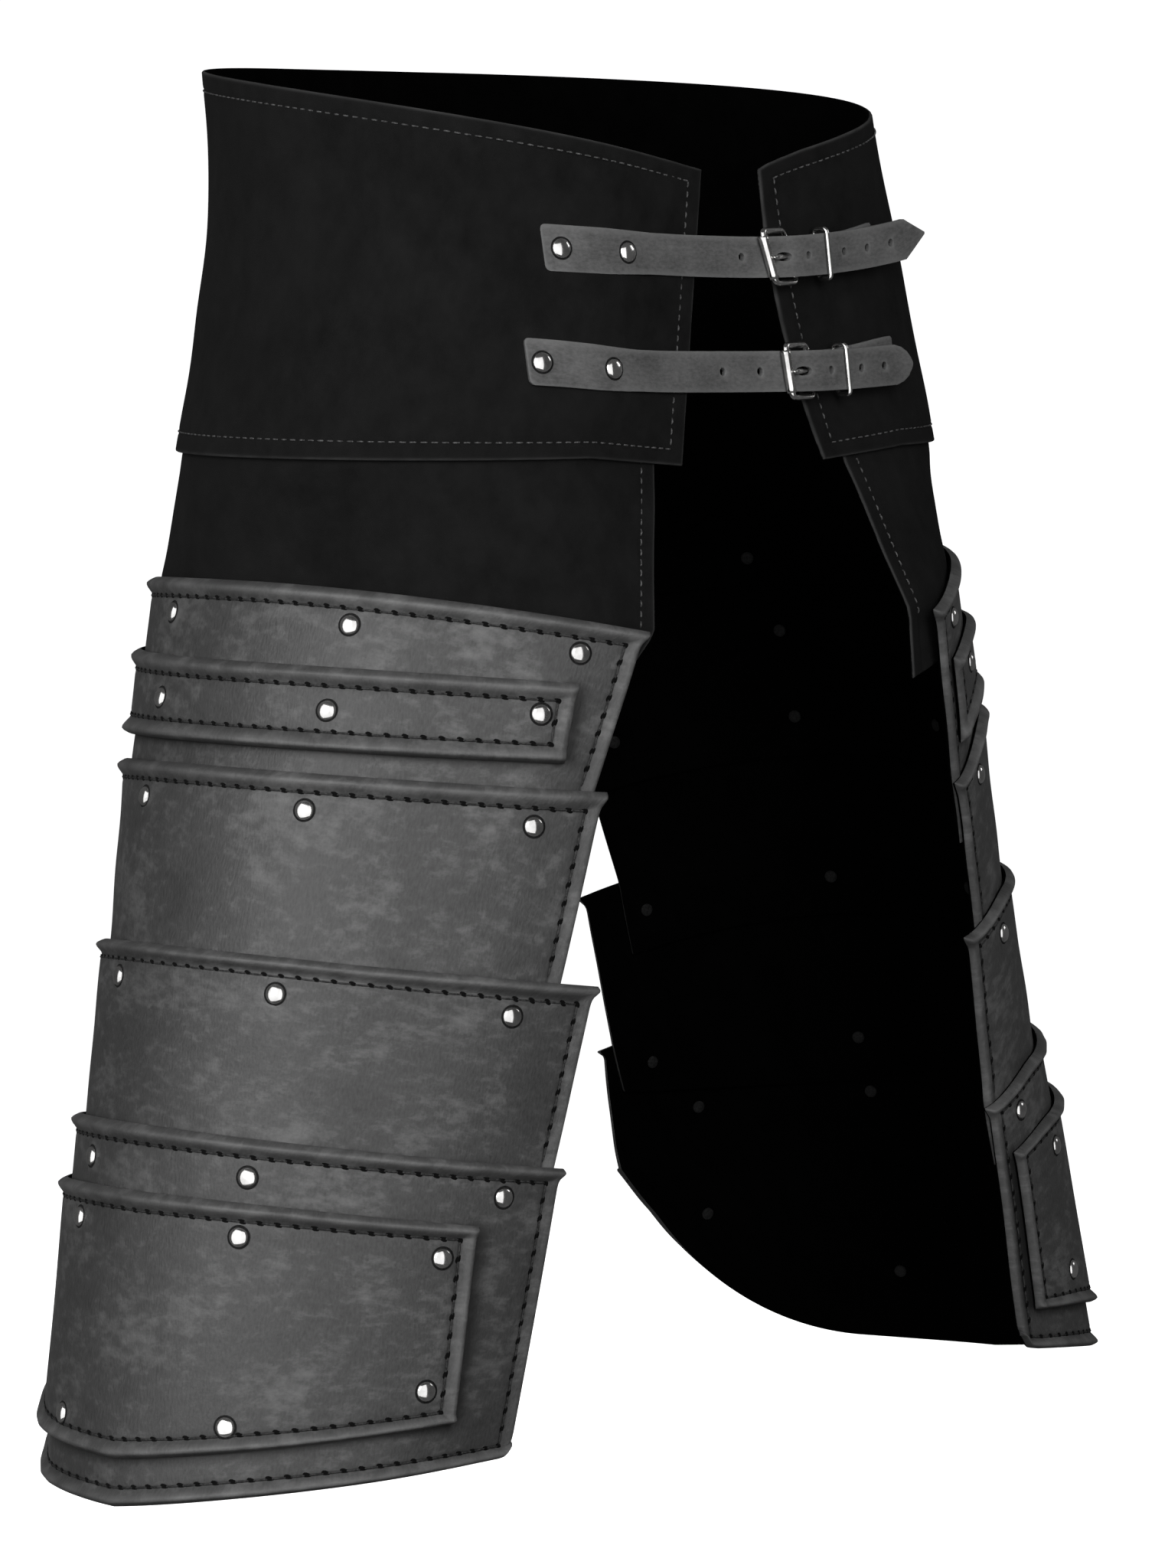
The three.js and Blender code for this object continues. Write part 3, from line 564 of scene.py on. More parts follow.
# painted shadow in front of an overlay's front edge and a painted contact shadow under it
def shadeBeside(side, over, angle, level):
    top, low = levelOn(over, angle, 0), levelOn(over, angle, 1)
    share = (level - top) / (low - top)
    front = mix(over["front"], over["frontLow"], np.clip(share, 0, 1))
    front = front + (mix(*over["cut"], np.clip(share, 0, 1)) if side == "left" else 0)
    ahead = np.radians(front - angle) * along(side, level)
    beside = np.exp(-(np.maximum(ahead - 2.5, 0) / over["shade"]) ** 2) * (ahead > -4)
    beside = beside * smooth(-0.06, 0.06, share) * smooth(1.08, 0.98, share)
    below = np.maximum(level - low, 0) * guard["spacing"][over["on"]]
    under = np.exp(-(below / 2.2) ** 2) * (ahead < 0) * (share > 0.9)
    return np.maximum(beside, under) * (angle < 175 - over["front"])


def makePlate(name, side):
    plate = plates[name]
    size = guard["spacing"][plate["on"]] * (plate["low"][1] - plate["top"][1])
    shares = stepsBetween(size, 4.5, True, plate.get("rolledLow", False)) / size
    grid = plateGrid(side, plate, shares, plateColumns(140))
    angle, level, fromTop, fromLow, fromFront = grid[:5]
    lift, inside, bulge, nearest = outerLift(plate, *grid)
    base = plateLift(plate, level) + warpAt(side, angle, level)
    seed = plate["seed"] + (10 if side == "left" else 0)
    outer = guardPoint(side, level, angle, base + lift)
    inner = guardPoint(side, level, angle, base + inside)
    if name == "lame_d":
        clipCorner(outer, inner, fromFront, fromLow)
    crest = np.exp(-((nearest - 4.2) / 2.6) ** 2) * np.clip(bulge / 3, 0, 1)
    rub = np.clip(crest * (0.62 + 0.5 * ripple(angle * 2.4, level * 80, seed, 34)), 0, 1)
    # painted shade along each seam's groove, and painted shadow cast by an overlay on its lame
    dirt = np.exp(-((nearest - hem["inset"]) / 0.75) ** 2) * 0.6
    for over in plates.values():
        if over.get("over") and over["on"] == plate["on"] and not plate.get("over"):
            dirt = np.maximum(dirt, shadeBeside(side, over, angle, level))
    uv = np.stack([fromFront, fromTop], -1)
    materials = (plateLeather, fleshSide)
    closedSheet(f"{name}Leather_{side}", outer, inner, materials, uv, seed, rub, dirt,
                [f"{name}_{side}"])


# the lowest plate's front corner is cut off a little: how far along, how far up, and how much it rises
clippedCorner = {"along": 6.5, "up": 16, "rise": 5.5}


def clipCorner(outer, inner, fromFront, fromLow):
    far, up = clippedCorner["along"], clippedCorner["up"]
    cut = np.clip(far - fromFront, 0, far) / far * np.clip(1 - fromLow / up, 0, 1)
    lift = clippedCorner["rise"] * smooth(0, 1, cut)
    outer[..., 2] += lift
    inner[..., 2] += lift


# stitches: a thread that dips into a slanted hole at each end
stitchLook = {
    "plate": {
        "pitch": 8.2, "hole": 2.05, "slant": -0.5, "thread": 0.5,
        "rise": 0.35, "risePower": 0.5, "dip": 0.35, "dipPower": 6,
    },
    "suede": {
        "pitch": 4.8, "length": 2.9, "thread": 0.42,
        "rise": 0.3, "risePower": 0.6, "dip": 0.25, "dipPower": 4,
    },
}


# rings of points round a line and the faces that join them: an open tube is capped, a closed one joins up
def tubeParts(points, tangents, normals, radii, start, sides=6, closed=False):
    across = np.cross(tangents, normals)
    turns = np.arange(sides) * math.tau / sides
    spokes = np.cos(turns)[:, None] * normals[:, None] + np.sin(turns)[:, None] * across[:, None]
    rings = points[:, None] + radii[:, None, None] * spokes
    count = len(points)
    faces = []
    for i in range(count if closed else count - 1):
        here, ahead = start + i * sides, start + (i + 1) % count * sides
        for k in range(sides):
            n = (k + 1) % sides
            faces.append([here + k, here + n, ahead + n, ahead + k])
    if not closed:
        faces.append([start + k for k in range(sides)][::-1])
        faces.append([start + (count - 1) * sides + k for k in range(sides)])
    return rings.reshape(-1, 3), faces


# a small flat lens, for a stitch hole
def lensParts(centre, normal, direction, length, width, height, start):
    across = np.cross(normal, direction)
    points, faces, sides = [centre + normal * height], [], 10
    for share, up in ((0.62, 0.75), (1.0, 0.0), (0.7, -0.9)):
        for k in range(sides):
            turn = math.tau * k / sides
            points.append(centre + direction * math.cos(turn) * length * share
                          + across * math.sin(turn) * width * share + normal * height * up)
    points.append(centre - normal * height * 1.3)
    for k in range(sides):
        n = (k + 1) % sides
        faces.append([start, start + 1 + k, start + 1 + n])
        for ring in range(2):
            a = start + 1 + ring * sides
            faces.append([a + k, a + sides + k, a + sides + n, a + n])
        last = start + 1 + 2 * sides
        faces.append([last + k, start + 1 + 3 * sides, last + n])
    return np.array(points), faces


def unit(v):
    return v / np.maximum(np.linalg.norm(v, axis=-1, keepdims=True), 1e-9)


# threads along some runs, each with its spots, the way out at each and whether its ends belong to another run
def makeStitches(name, runs, look, threadMaterial):
    points, faces, materials, total = [], [], [], 0

    def add(part, found, material):
        nonlocal total
        points.append(part)
        faces.extend(found)
        materials.extend([material] * len(found))
        total += len(part)

    share = np.linspace(0, 1, 7)
    used = look.get("length", look["pitch"]) / look["pitch"]
    dip = look["dip"] * (np.abs(share - 0.5) * 2) ** look["dipPower"]
    rise = look["rise"] * np.sin(share * math.pi) ** look["risePower"] - dip
    radii = look["thread"] * (0.75 + 0.25 * np.sin(share * math.pi))
    for place, normal, shared in runs:
        ahead = unit(np.gradient(place, axis=0))
        for i in range(len(place)):
            out = normal[i]
            if "hole" in look and not (shared and i in (0, len(place) - 1)):
                across = np.cross(out, ahead[i])
                slanted = unit(ahead[i] * math.cos(look["slant"]) + across * math.sin(look["slant"]))
                centre, wide = place[i] + out * 0.3, look["hole"] * 0.6
                # each stitch hole is a black lens of painted shade
                add(*lensParts(centre, out, slanted, look["hole"], wide, 0.2, total), 1)
            if i + 1 < len(place):
                span = place[i + 1] - place[i]
                line = place[i] + span * (share * used)[:, None] + out * rise[:, None]
                tangent = unit(np.gradient(line, axis=0))
                ups = unit(np.repeat(out[None], len(share), 0) - tangent * (tangent @ out)[:, None])
                add(*tubeParts(line, tangent, ups, radii, total), 0)
    return addMesh(name, np.concatenate(points), faces, (threadMaterial, holeShade), materials)


# evenly spaced spots along a line and the way out at each; more is the same line, one millimetre further out
def spaceOut(line, more, pitch, shared=False):
    steps = np.concatenate([[0], np.cumsum(np.linalg.norm(np.diff(line, axis=0), axis=1))])
    keep = np.concatenate([[True], np.diff(steps) > 1e-6])
    line, more, steps = line[keep], more[keep], steps[keep]
    marks = np.linspace(0, steps[-1], max(int(round(steps[-1] / pitch)), 1) + 1)
    place = np.stack([np.interp(marks, steps, line[:, k]) for k in range(3)], -1)
    normal = unit(np.stack([np.interp(marks, steps, (more - line)[:, k]) for k in range(3)], -1))
    return place, normal, shared


def seamOnPlate(name, side, which):
    plate = plates[name]
    fine = 400
    inset = hem["inset"]
    levels = plate["low"][1] - plate["top"][1]
    size = guard["spacing"][plate["on"]] * levels
    rolledLow = plate.get("rolledLow")
    if which in ("top", "low"):
        share = np.full(1, inset / size if which == "top" else 1 - inset / size)
        grid = plateGrid(side, plate, share, (np.full(fine, edgeWidth), np.linspace(0, 1, fine)))
        width = (grid[4] + grid[5])[0, 0]
        radius = along(side, levelOn(plate, 90, share[0]))
        angle = grid[0][0, 0] + np.degrees((np.linspace(inset, width - inset, fine) - edgeWidth) / radius)
        level = levelOn(plate, angle, share[0])
    else:
        end = 1 - inset / size if rolledLow else 1 / levels - 2 / size     # or just above the next lame's hem
        share = np.linspace(inset / size, end, fine)
        edge = -1.0 if which == "front" else 2.0
        grid = plateGrid(side, plate, share, (np.full(1, inset), np.full(1, edge)))
        angle, level = grid[0][:, 0], grid[1][:, 0]
    base = plateLift(plate, level) - hem["groove"] + warpAt(side, angle, level)
    line, more = guardPoint(side, level, angle, base), guardPoint(side, level, angle, base + 1)
    return spaceOut(line, more, stitchLook["plate"]["pitch"], which in ("front", "rear"))


# rivets: flattened domes with a thin brim, a dark ring round the head that is the painted shade of its dent,
# and a burr on the inside darkened as painted shade
rivetLook = {"head": 4.6, "dome": 2.2, "brim": 0.3, "segments": 22}
dentShadeLook = {"head": 5.35, "dome": 0.12, "brim": 0.12, "segments": 22}
burrLook = {"head": 3.2, "dome": 0.9, "brim": 0.3, "segments": 16}


def domeParts(place, normal, start, look, depth):
    head = look["head"]
    rings = [(head, 0.0), (head, look["brim"])]
    for k in range(1, 7):
        turn = k / 7 * math.pi / 2
        rings.append((head * 0.97 * math.cos(turn), look["brim"] + look["dome"] * math.sin(turn)))
    across = unit(np.cross(normal, np.array([0.0, 0.0, 1.0])))
    up = np.cross(across, normal)
    sides = look["segments"]
    turns = np.arange(sides) * math.tau / sides
    circle = np.cos(turns)[:, None] * across + np.sin(turns)[:, None] * up
    points = [place + normal * (height - depth) + circle * radius for radius, height in rings]
    points.append((place + normal * (look["brim"] + look["dome"] - depth))[None])
    faces = [[start + k for k in range(sides)][::-1]]
    for ring in range(len(rings) - 1):
        a = start + ring * sides
        for k in range(sides):
            n = (k + 1) % sides
            faces.append([a + k, a + n, a + sides + n, a + sides + k])
    tip = start + len(rings) * sides
    last = tip - sides
    faces += [[last + k, last + (k + 1) % sides, tip] for k in range(sides)]
    return np.concatenate(points), faces


# rivets at their seats; through is how far inside the outer face the burr sits
def makeRivets(name, seats, through, replaced=()):
    points, faces, kinds, total = [], [], [], 0
    for place, normal in seats:
        # the dent ring and the burr wear near-black painted shade
        parts = ((place, normal, rivetLook, 0.15, 0), (place, normal, dentShadeLook, 0.0, 1),
                 (place - normal * through, -normal, burrLook, 0.0, 1))
        for spot, out, look, depth, kind in parts:
            part, found = domeParts(spot, out, total, look, depth)
            points.append(part)
            faces += found
            kinds += [kind] * len(found)
            total += len(part)
    piece = addMesh(name, np.concatenate(points), faces, (nickel, paintedShadeMetal), kinds)
    dress(piece, replaced)


# a rivet's spot on a plate's outer face and the way out, found from spots a little below, behind and outside
def plateSeat(name, side, angle, level):
    levels = np.array([level, level + 0.03, level, level])
    angles = np.array([angle, angle, angle + 1.5, angle])
    lifts = plateLift(plates[name], levels) + (0, 0, 0, 1)
    spots = guardPoint(side, levels, angles, lifts)
    normal = unit(np.cross(spots[1] - spots[0], spots[2] - spots[0]))
    if normal @ (spots[3] - spots[0]) < 0:
        normal = -normal
    return spots[0] + normal * warpAt(side, angle, level), normal


# each row of four: its plate, its level, and how far inside the burrs sit; the overlays' rows have a level
# and an angle for each rivet
rivetRows = {
    "a": ("lame_a", 0.19, 6.4), "b": ("lame_b", 1.2, 7.6),
    "c": ("lame_c", 2.2, 7.6), "d": ("lame_d", 3.105, 7.6),
}
overlayRows = (
    ("band_overlay", (0.565, 0.655, 0.655, 0.565), (32, 68.4, 109.5, 148)),
    ("panel_overlay", (3.30, 3.265, 3.265, 3.30), (24, 66, 113, 156)),
    ("panel_overlay", (3.72, 3.79, 3.79, 3.72), (20, 62.5, 112.5, 160)),
)
overlayThrough = 7.0

for side in ("right", "left"):
    print("guard", side)
    for name in plates:
        makePlate(name, side)
        seams = ["top", "front", "rear"] + (["low"] if plates[name].get("rolledLow") else [])
        runs = [seamOnPlate(name, side, which) for which in seams]
        makeStitches(f"{name}Stitching_{side}", runs, stitchLook["plate"], blackThread)
    for row, (name, level, through) in rivetRows.items():
        front, hip = along("rivetFront", level), along("rivetSide", level)
        seats = [plateSeat(name, side, angle, level) for angle in (front, hip, 180 - hip, 180 - front)]
        replaced = [f"rivet_{row}{k + 1}_{side}" for k in range(4)]
        makeRivets(f"rivets_{row}_{side}", seats, through, replaced)
    for k, (name, rowLevels, angles) in enumerate(overlayRows):
        seats = [plateSeat(name, side, angle, level) for angle, level in zip(angles, rowLevels)]
        makeRivets(f"rivets_{name}{k}_{side}", seats, overlayThrough)


print("waistband")


def bandTop(side, angle):
    share = ((angle - waist["endAngle"]) / (180 - waist["endAngle"])) ** waist["climb"][side]
    return mix(waist["frontTop"], waist["backTop"], np.sin(share * math.pi / 2))


def bandBottom(angle):
    share = np.clip((waist["bottomTurn"] - angle) / (waist["bottomTurn"] - waist["endAngle"]), 0, 1)
    return mix(waist["sideBottom"], waist["frontBottom"], share)


# how far the waistband is drawn in at the hip and behind, by the height
def bandPinch(side, angle, down):
    amount = catmull(waist["pinchRows"], waist["pinch"][side], np.clip(down, 0, 1))
    return amount * smooth(35, 110, angle)


# zone 0 is the straight front (q from the edge to the curve), 1 the curve, 2 the straight back
def bandPoint(side, zone, q, down, lift):
    half = mix(*waist["half"], down)
    radius = mix(*waist["radius"], down) + lift
    shift = mix(*waist["shift"], down)
    corner = mix(*waist["corner"], np.power(np.clip(down, 0, 1), waist["sweep"][side]))
    angle = np.where(zone == 0, mix(waist["endAngle"], 0, q), np.where(zone == 1, q * 180, 180))
    turn = np.radians(np.clip(angle, 0, 180))
    pinch = bandPinch(side, angle, down)
    x = half + radius * np.sin(turn) - pinch
    x = np.where(zone == 0, mix(corner, half, q), x)
    x = np.where(zone == 2, (half - pinch) * (1 - q), x)
    y = np.where(zone == 0, shift - radius, shift - radius * np.cos(turn))
    z = mix(bandTop(side, angle), bandBottom(angle), down)
    return np.stack([x if side == "left" else -x, y, z], -1)


def bandColumns():
    edge = edgeSteps[:12] / waist["frontRun"]
    zone = np.concatenate([np.zeros(len(edge) + 6), np.ones(56), np.full(12, 2.0)])
    flat = np.linspace(edge[-1], 1, 8)[1:-1]
    return zone, np.concatenate([edge, flat, np.linspace(0, 1, 57)[:-1], np.linspace(0, 1, 13)[:-1]])


def makeWaistband():
    zone, q = bandColumns()
    size = waist["height"]
    frontRun, curveRun, backRun = waist["frontRun"], waist["curveRun"], waist["backRun"]
    shares = stepsBetween(size, 6.0, True, True) / size
    down = shares[:, None]
    parts = {"outer": [], "inner": [], "uv": [], "rub": []}
    for side in ("right", "left"):
        fromFront = np.where(zone == 0, q * frontRun, size)[None] + 0 * down
        fromTop, fromLow = down * size + 0 * q, (1 - down) * size + 0 * q
        nearest = np.minimum(np.minimum(fromTop, fromLow), fromFront)
        half = waist["wall"] / 2
        wave = waist["wave"] * ripple(q * 200 + zone * 220, down * size, waist["waveSeed"][side], 150)
        wave = wave * smooth(0, 30, fromLow) * smooth(0, 22, fromFront)
        groove = waist["groove"] * np.exp(-((nearest - 8.6) / 1.1) ** 2)
        rounded = roundOff(nearest, 0.9)
        outer = bandPoint(side, zone, q, down, half * (rounded - 1) + wave - groove)
        inner = bandPoint(side, zone, q, down, -half * (rounded + 1) + wave)
        run = np.where(zone == 1, frontRun + q * curveRun, frontRun + curveRun + q * backRun)
        run = np.where(zone == 0, q * frontRun, run)[None] + 0 * down
        uv = np.stack([run if side == "left" else -run, fromTop], -1)
        rub = np.exp(-(nearest / 0.9) ** 2) * (0.65 + 0.35 * ripple(run, fromTop, 3, 30))
        order = slice(None) if side == "right" else slice(None, None, -1)
        for key, value in (("outer", outer), ("inner", inner), ("uv", uv), ("rub", rub)):
            parts[key].append(value[:, order])
    outer, inner, uv, rub = [np.concatenate(halves, 1) for halves in parts.values()]
    return closedSheet("waistbandSuede", outer, inner, (suedeSkin, suedeInside), uv, 21, rub, None,
                       ["waistband"])


def bandSeam(side, which):
    size, frontRun, inset = waist["height"], waist["frontRun"], waist["seamInset"]
    fine = 300
    if which == "front":
        down = np.linspace(inset / size, 1 - inset / size, fine)
        zone, q = np.zeros(fine), np.full(fine, inset / frontRun)
    else:
        down = np.full(3 * fine, inset / size if which == "top" else 1 - inset / size)
        zone = np.repeat([0.0, 1.0, 2.0], fine)
        whole = np.linspace(0, 1, fine)
        q = np.concatenate([np.linspace(inset / frontRun, 1, fine), whole, whole])
    line, more = bandPoint(side, zone, q, down, -0.3), bandPoint(side, zone, q, down, 0.7)
    return spaceOut(line, more, stitchLook["suede"]["pitch"])


band = makeWaistband()
bandRuns = [bandSeam(side, which) for side in ("right", "left") for which in ("top", "front", "low")]
bandStitches = makeStitches("waistbandStitching", bandRuns, stitchLook["suede"], greyThread)


print("skirts")

# frontTop and frontLow: how far forward the front edge reaches at the waistband and on the first lame
skirt = {
    "wall": 2.0, "length": 125.0, "width": 360.0, "seam": 20, "below": 0.38, "frontTop": 66, "pull": 8.0,
    "frontLow": {"right": (92, 112), "left": (101, 107)}, "sections": (0.0, 0.18, 0.76, 1.0),
    "wave": 0.8, "groove": 0.3, "seamInset": 8.0,
}


# rows 0 and 1 lie inside the waistband, 2 and 3 inside the first lame
def skirtSection(side, row, place):
    if row < 2:
        z = waist["sideBottom"] + (skirt["seam"] if row == 0 else -3)
        down = (bandTop(side, 90) - z) / (bandTop(side, 90) - bandBottom(90))
        half, shift = mix(*waist["half"], down), mix(*waist["shift"], down)
        radius = mix(*waist["radius"], down) - waist["wall"] - 0.6
        start = math.degrees((skirt["frontTop"] - half) / radius)
        angle = mix(start, 180 - start, place)
        turn = np.radians(np.clip(angle, 0, 180))
        past = radius * np.radians(angle - np.clip(angle, 0, 180)) * np.where(angle < 0, 1, -1)
        x = half + radius * np.sin(turn) + past - bandPinch(side, angle, down)
        y = shift - radius * np.cos(turn)
        out = np.stack([np.sin(turn), -np.cos(turn), 0 * turn], -1)
        return np.stack([x, y, z + 0 * x], -1), out
    level = 0.0 if row == 2 else skirt["below"]
    front = skirt["frontLow"][side][row - 2]
    half, radius = along("half", level), along(side, level)
    lift = -hem["height"] - guard["step"] * level - guard["wall"] - 0.7
    start = math.degrees(math.asin((front - half) / (radius + lift)))
    angle = mix(start, 180 - start, place)
    pulled = skirt["pull"] * (1 - smooth(start, start + 13, np.minimum(angle, 180 - angle)))
    points = guardPoint("left", level, angle, 0)
    turn = np.radians(angle)
    reach = radius + lift - pulled
    points[..., 0] = half + reach * np.sin(turn)
    points[..., 1] = along("shift", level) - reach * np.cos(turn)
    points[..., 2] = guardPoint(side, level, np.clip(angle, 14, 166), 0)[..., 2]
    out = np.stack([np.sin(turn), -np.cos(turn), 0 * turn], -1)
    return points, out


def skirtPoint(side, share, place, lift):
    sections = [skirtSection(side, row, place) for row in range(4)]
    stops = skirt["sections"]
    points, outs = 0, 0
    for k in range(3):
        here = (share >= stops[k]) & ((share < stops[k + 1]) if k < 2 else True)
        t = np.clip((share - stops[k]) / (stops[k + 1] - stops[k]), 0, 1)[..., None]
        points = np.where(here[..., None], mix(sections[k][0], sections[k + 1][0], t), points)
        outs = np.where(here[..., None], mix(sections[k][1], sections[k + 1][1], t), outs)
    points = points + unit(outs) * np.asarray(lift)[..., None]
    if side == "right":
        points = points * (-1, 1, 1)
    return points


def makeSkirt(side):
    length, width, stops = skirt["length"], skirt["width"], skirt["sections"]
    rows = stepsBetween(length, 5.0, True, True) / length
    columns = stepsBetween(width, 4.5, True, True) / width
    share, place = np.meshgrid(rows, columns, indexing="ij")
    fromEdge = np.minimum(place, 1 - place) * width
    nearest = np.minimum(fromEdge, np.minimum(share, 1 - share) * length)
    half = skirt["wall"] / 2
    rounded = roundOff(nearest, 0.8)
    wave = skirt["wave"] * ripple(place * width, share * length, 9, 120)
    wave = wave * smooth(0, 0.2, share - stops[1]) * smooth(0, 0.2, stops[2] - share)
    groove = skirt["groove"] * np.exp(-((fromEdge - skirt["seamInset"]) / 1.1) ** 2)
    outer = skirtPoint(side, share, place, half * (rounded - 1) + wave - groove)
    inner = skirtPoint(side, share, place, -half * (rounded + 1) + wave)
    uv = np.stack([place * width, share * length], -1)
    rub = np.exp(-(fromEdge / 0.9) ** 2) * 0.7
    seed = 31 if side == "right" else 32
    piece = closedSheet(f"skirtSuede_{side}", outer, inner, (suedeSkin, suedeInside), uv, seed, rub, None,
                        [f"skirt_{side}"])
    fine = np.linspace(0.16, 0.8, 200)
    runs = []
    for edge in (skirt["seamInset"] / width, 1 - skirt["seamInset"] / width):
        spots = np.full(200, edge)
        line, more = [skirtPoint(side, fine, spots, np.full(200, lift)) for lift in (-0.25, 0.75)]
        runs.append(spaceOut(line, more, stitchLook["suede"]["pitch"]))
    seam = makeStitches(f"skirtStitching_{side}", runs, stitchLook["suede"], greyThread)


for side in ("right", "left"):
    makeSkirt(side)


print("straps and buckles")

strapLine = {
    "upper": {
        "z": 27, "roller": 10, "skew": 0.3, "pivot": 30.5, "keeper": 50, "endX": -122, "tipX": 126,
        "sway": ((-122, 5.0), (-75, 2.5), (-20, 0.4), (10, 0), (50, 1.5), (90, 5), (111, 8), (126, 11)),
        "holes": (-3, 37, 64, 82, 100), "prongHole": 21, "rivets": (-113, -77), "tip": "arrow",
    },
    "lower": {
        "z": -25, "roller": 18, "skew": 0.12, "pivot": 38.5, "keeper": 57.5, "endX": -137, "tipX": 110,
        "sway": ((-137, 6.6), (-126, 5.8), (-84, 2), (-20, 0), (60, 0), (110, 1.8)),
        "holes": (-21, 4, 47, 70, 88), "prongHole": 29, "rivets": (-130, -93), "tip": "round",
    },
}
strapSize = {
    "wall": 2.5, "endWidth": 21, "width": 18.8, "lift": 0.45, "hole": 1.9, "slot": 2.1, "slotLength": 4.6,
    "endCorner": 2.5, "burr": 6.4, "mesh": 2.6, "bevel": 0.35, "seed": {"upper": 41, "lower": 42},
}
buckleSize = {
    "wire": 1.45, "halfWidth": 12, "corner": 3.4, "rollerHeight": 9, "pivotHeight": 4.1, "roller": 2.3,
    "rollerInset": 2.2,
}
keeperSize = {"wire": 1.15, "halfWidth": 11.6, "low": 3.75, "high": 11.6, "corner": 2.6, "skew": 0.03}
prongSize = {
    "wire": 1.15, "tip": (0.97, 0.88, 0.72, 0.4), "startBack": 1.9, "startHeight": 0.7, "restAhead": 1.0,
    "restHeight": 1.3, "reach": 1.6, "drop": 0.5, "arch": 0.6,
}
foldSize = {
    "wall": 2.0, "halfWidth": 9.0, "slot": 1.7, "slotHalf": 5, "tailX": {"upper": 98, "lower": 106},
    "mesh": 2.4, "bevel": 0.3, "seed": {"upper": 43, "lower": 44},
}


def downAt(side, z):
    return (bandTop(side, 0) - z) / (bandTop(side, 0) - bandBottom(0))


def frontFace(z):
    down = downAt("left", z)
    return mix(*waist["shift"], down) - mix(*waist["radius"], down)


# how high the tongue's middle stands off the waistband: flat, up over the roller and down past the keeper
def tongueHeight(line, x):
    low = strapSize["lift"] + strapSize["wall"] / 2
    r, p, k = line["roller"], line["pivot"], line["keeper"]
    xs = (-200, -20, r - 22, r - 9, r, r + 8, p - 4, p, p + 5, k, k + 30, line["tipX"])
    ys = (low, low, low + 0.6, 3.2, 5.1, 7.3, 9.1, 9.5, 9.4, 9.1, 7.6, 7.0)
    return catmull(xs, ys, x)


# spots off the waistband's face: straight across the front and round with its curve beyond
def wrapped(side, x, z, height):
    outward = -1 if side == "right" else 1
    down = downAt(side, z)
    half, radius = mix(*waist["half"], down), mix(*waist["radius"], down)
    around = np.maximum(outward * x - half, 0)
    turn = around / radius
    bentX = np.where(around > 0, outward * (half + (radius + height) * np.sin(turn)), x)
    return np.stack([bentX, mix(*waist["shift"], down) - (radius + height) * np.cos(turn), z], -1)


def tonguePoint(line, x, across, lift):
    z = line["z"] + catmull(*zip(*line["sway"]), x) + across
    return wrapped("right", x, z, tongueHeight(line, x) + lift)


def tongueOutline(line):
    end, wide, tipX = line["endX"], strapSize["width"] / 2, line["tipX"]
    endWide, corner = strapSize["endWidth"] / 2, strapSize["endCorner"]
    low = []
    for turn in np.linspace(math.pi / 2, 0, 5):
        low.append((end + corner * (1 - math.sin(turn)), corner - endWide - corner * math.cos(turn)))
    low += [(end + 34, -endWide + 0.2), (end + 60, -wide)]
    if line["tip"] == "arrow":
        low += [(tipX - 15, -wide), (tipX, -0.5)]
    else:
        low += [(tipX - back, -wide * share) for back, share in ((13, 1), (8, 0.86), (4, 0.62), (1.2, 0.3))]
        low.append((tipX, -0.6))
    return low + [(x, -y) for x, y in reversed(low)]


def circleAt(x, y, rx, ry, count=14):
    turns = [math.tau * k / count for k in range(count)]
    return [(x + rx * math.cos(turn), y + ry * math.sin(turn)) for turn in turns]


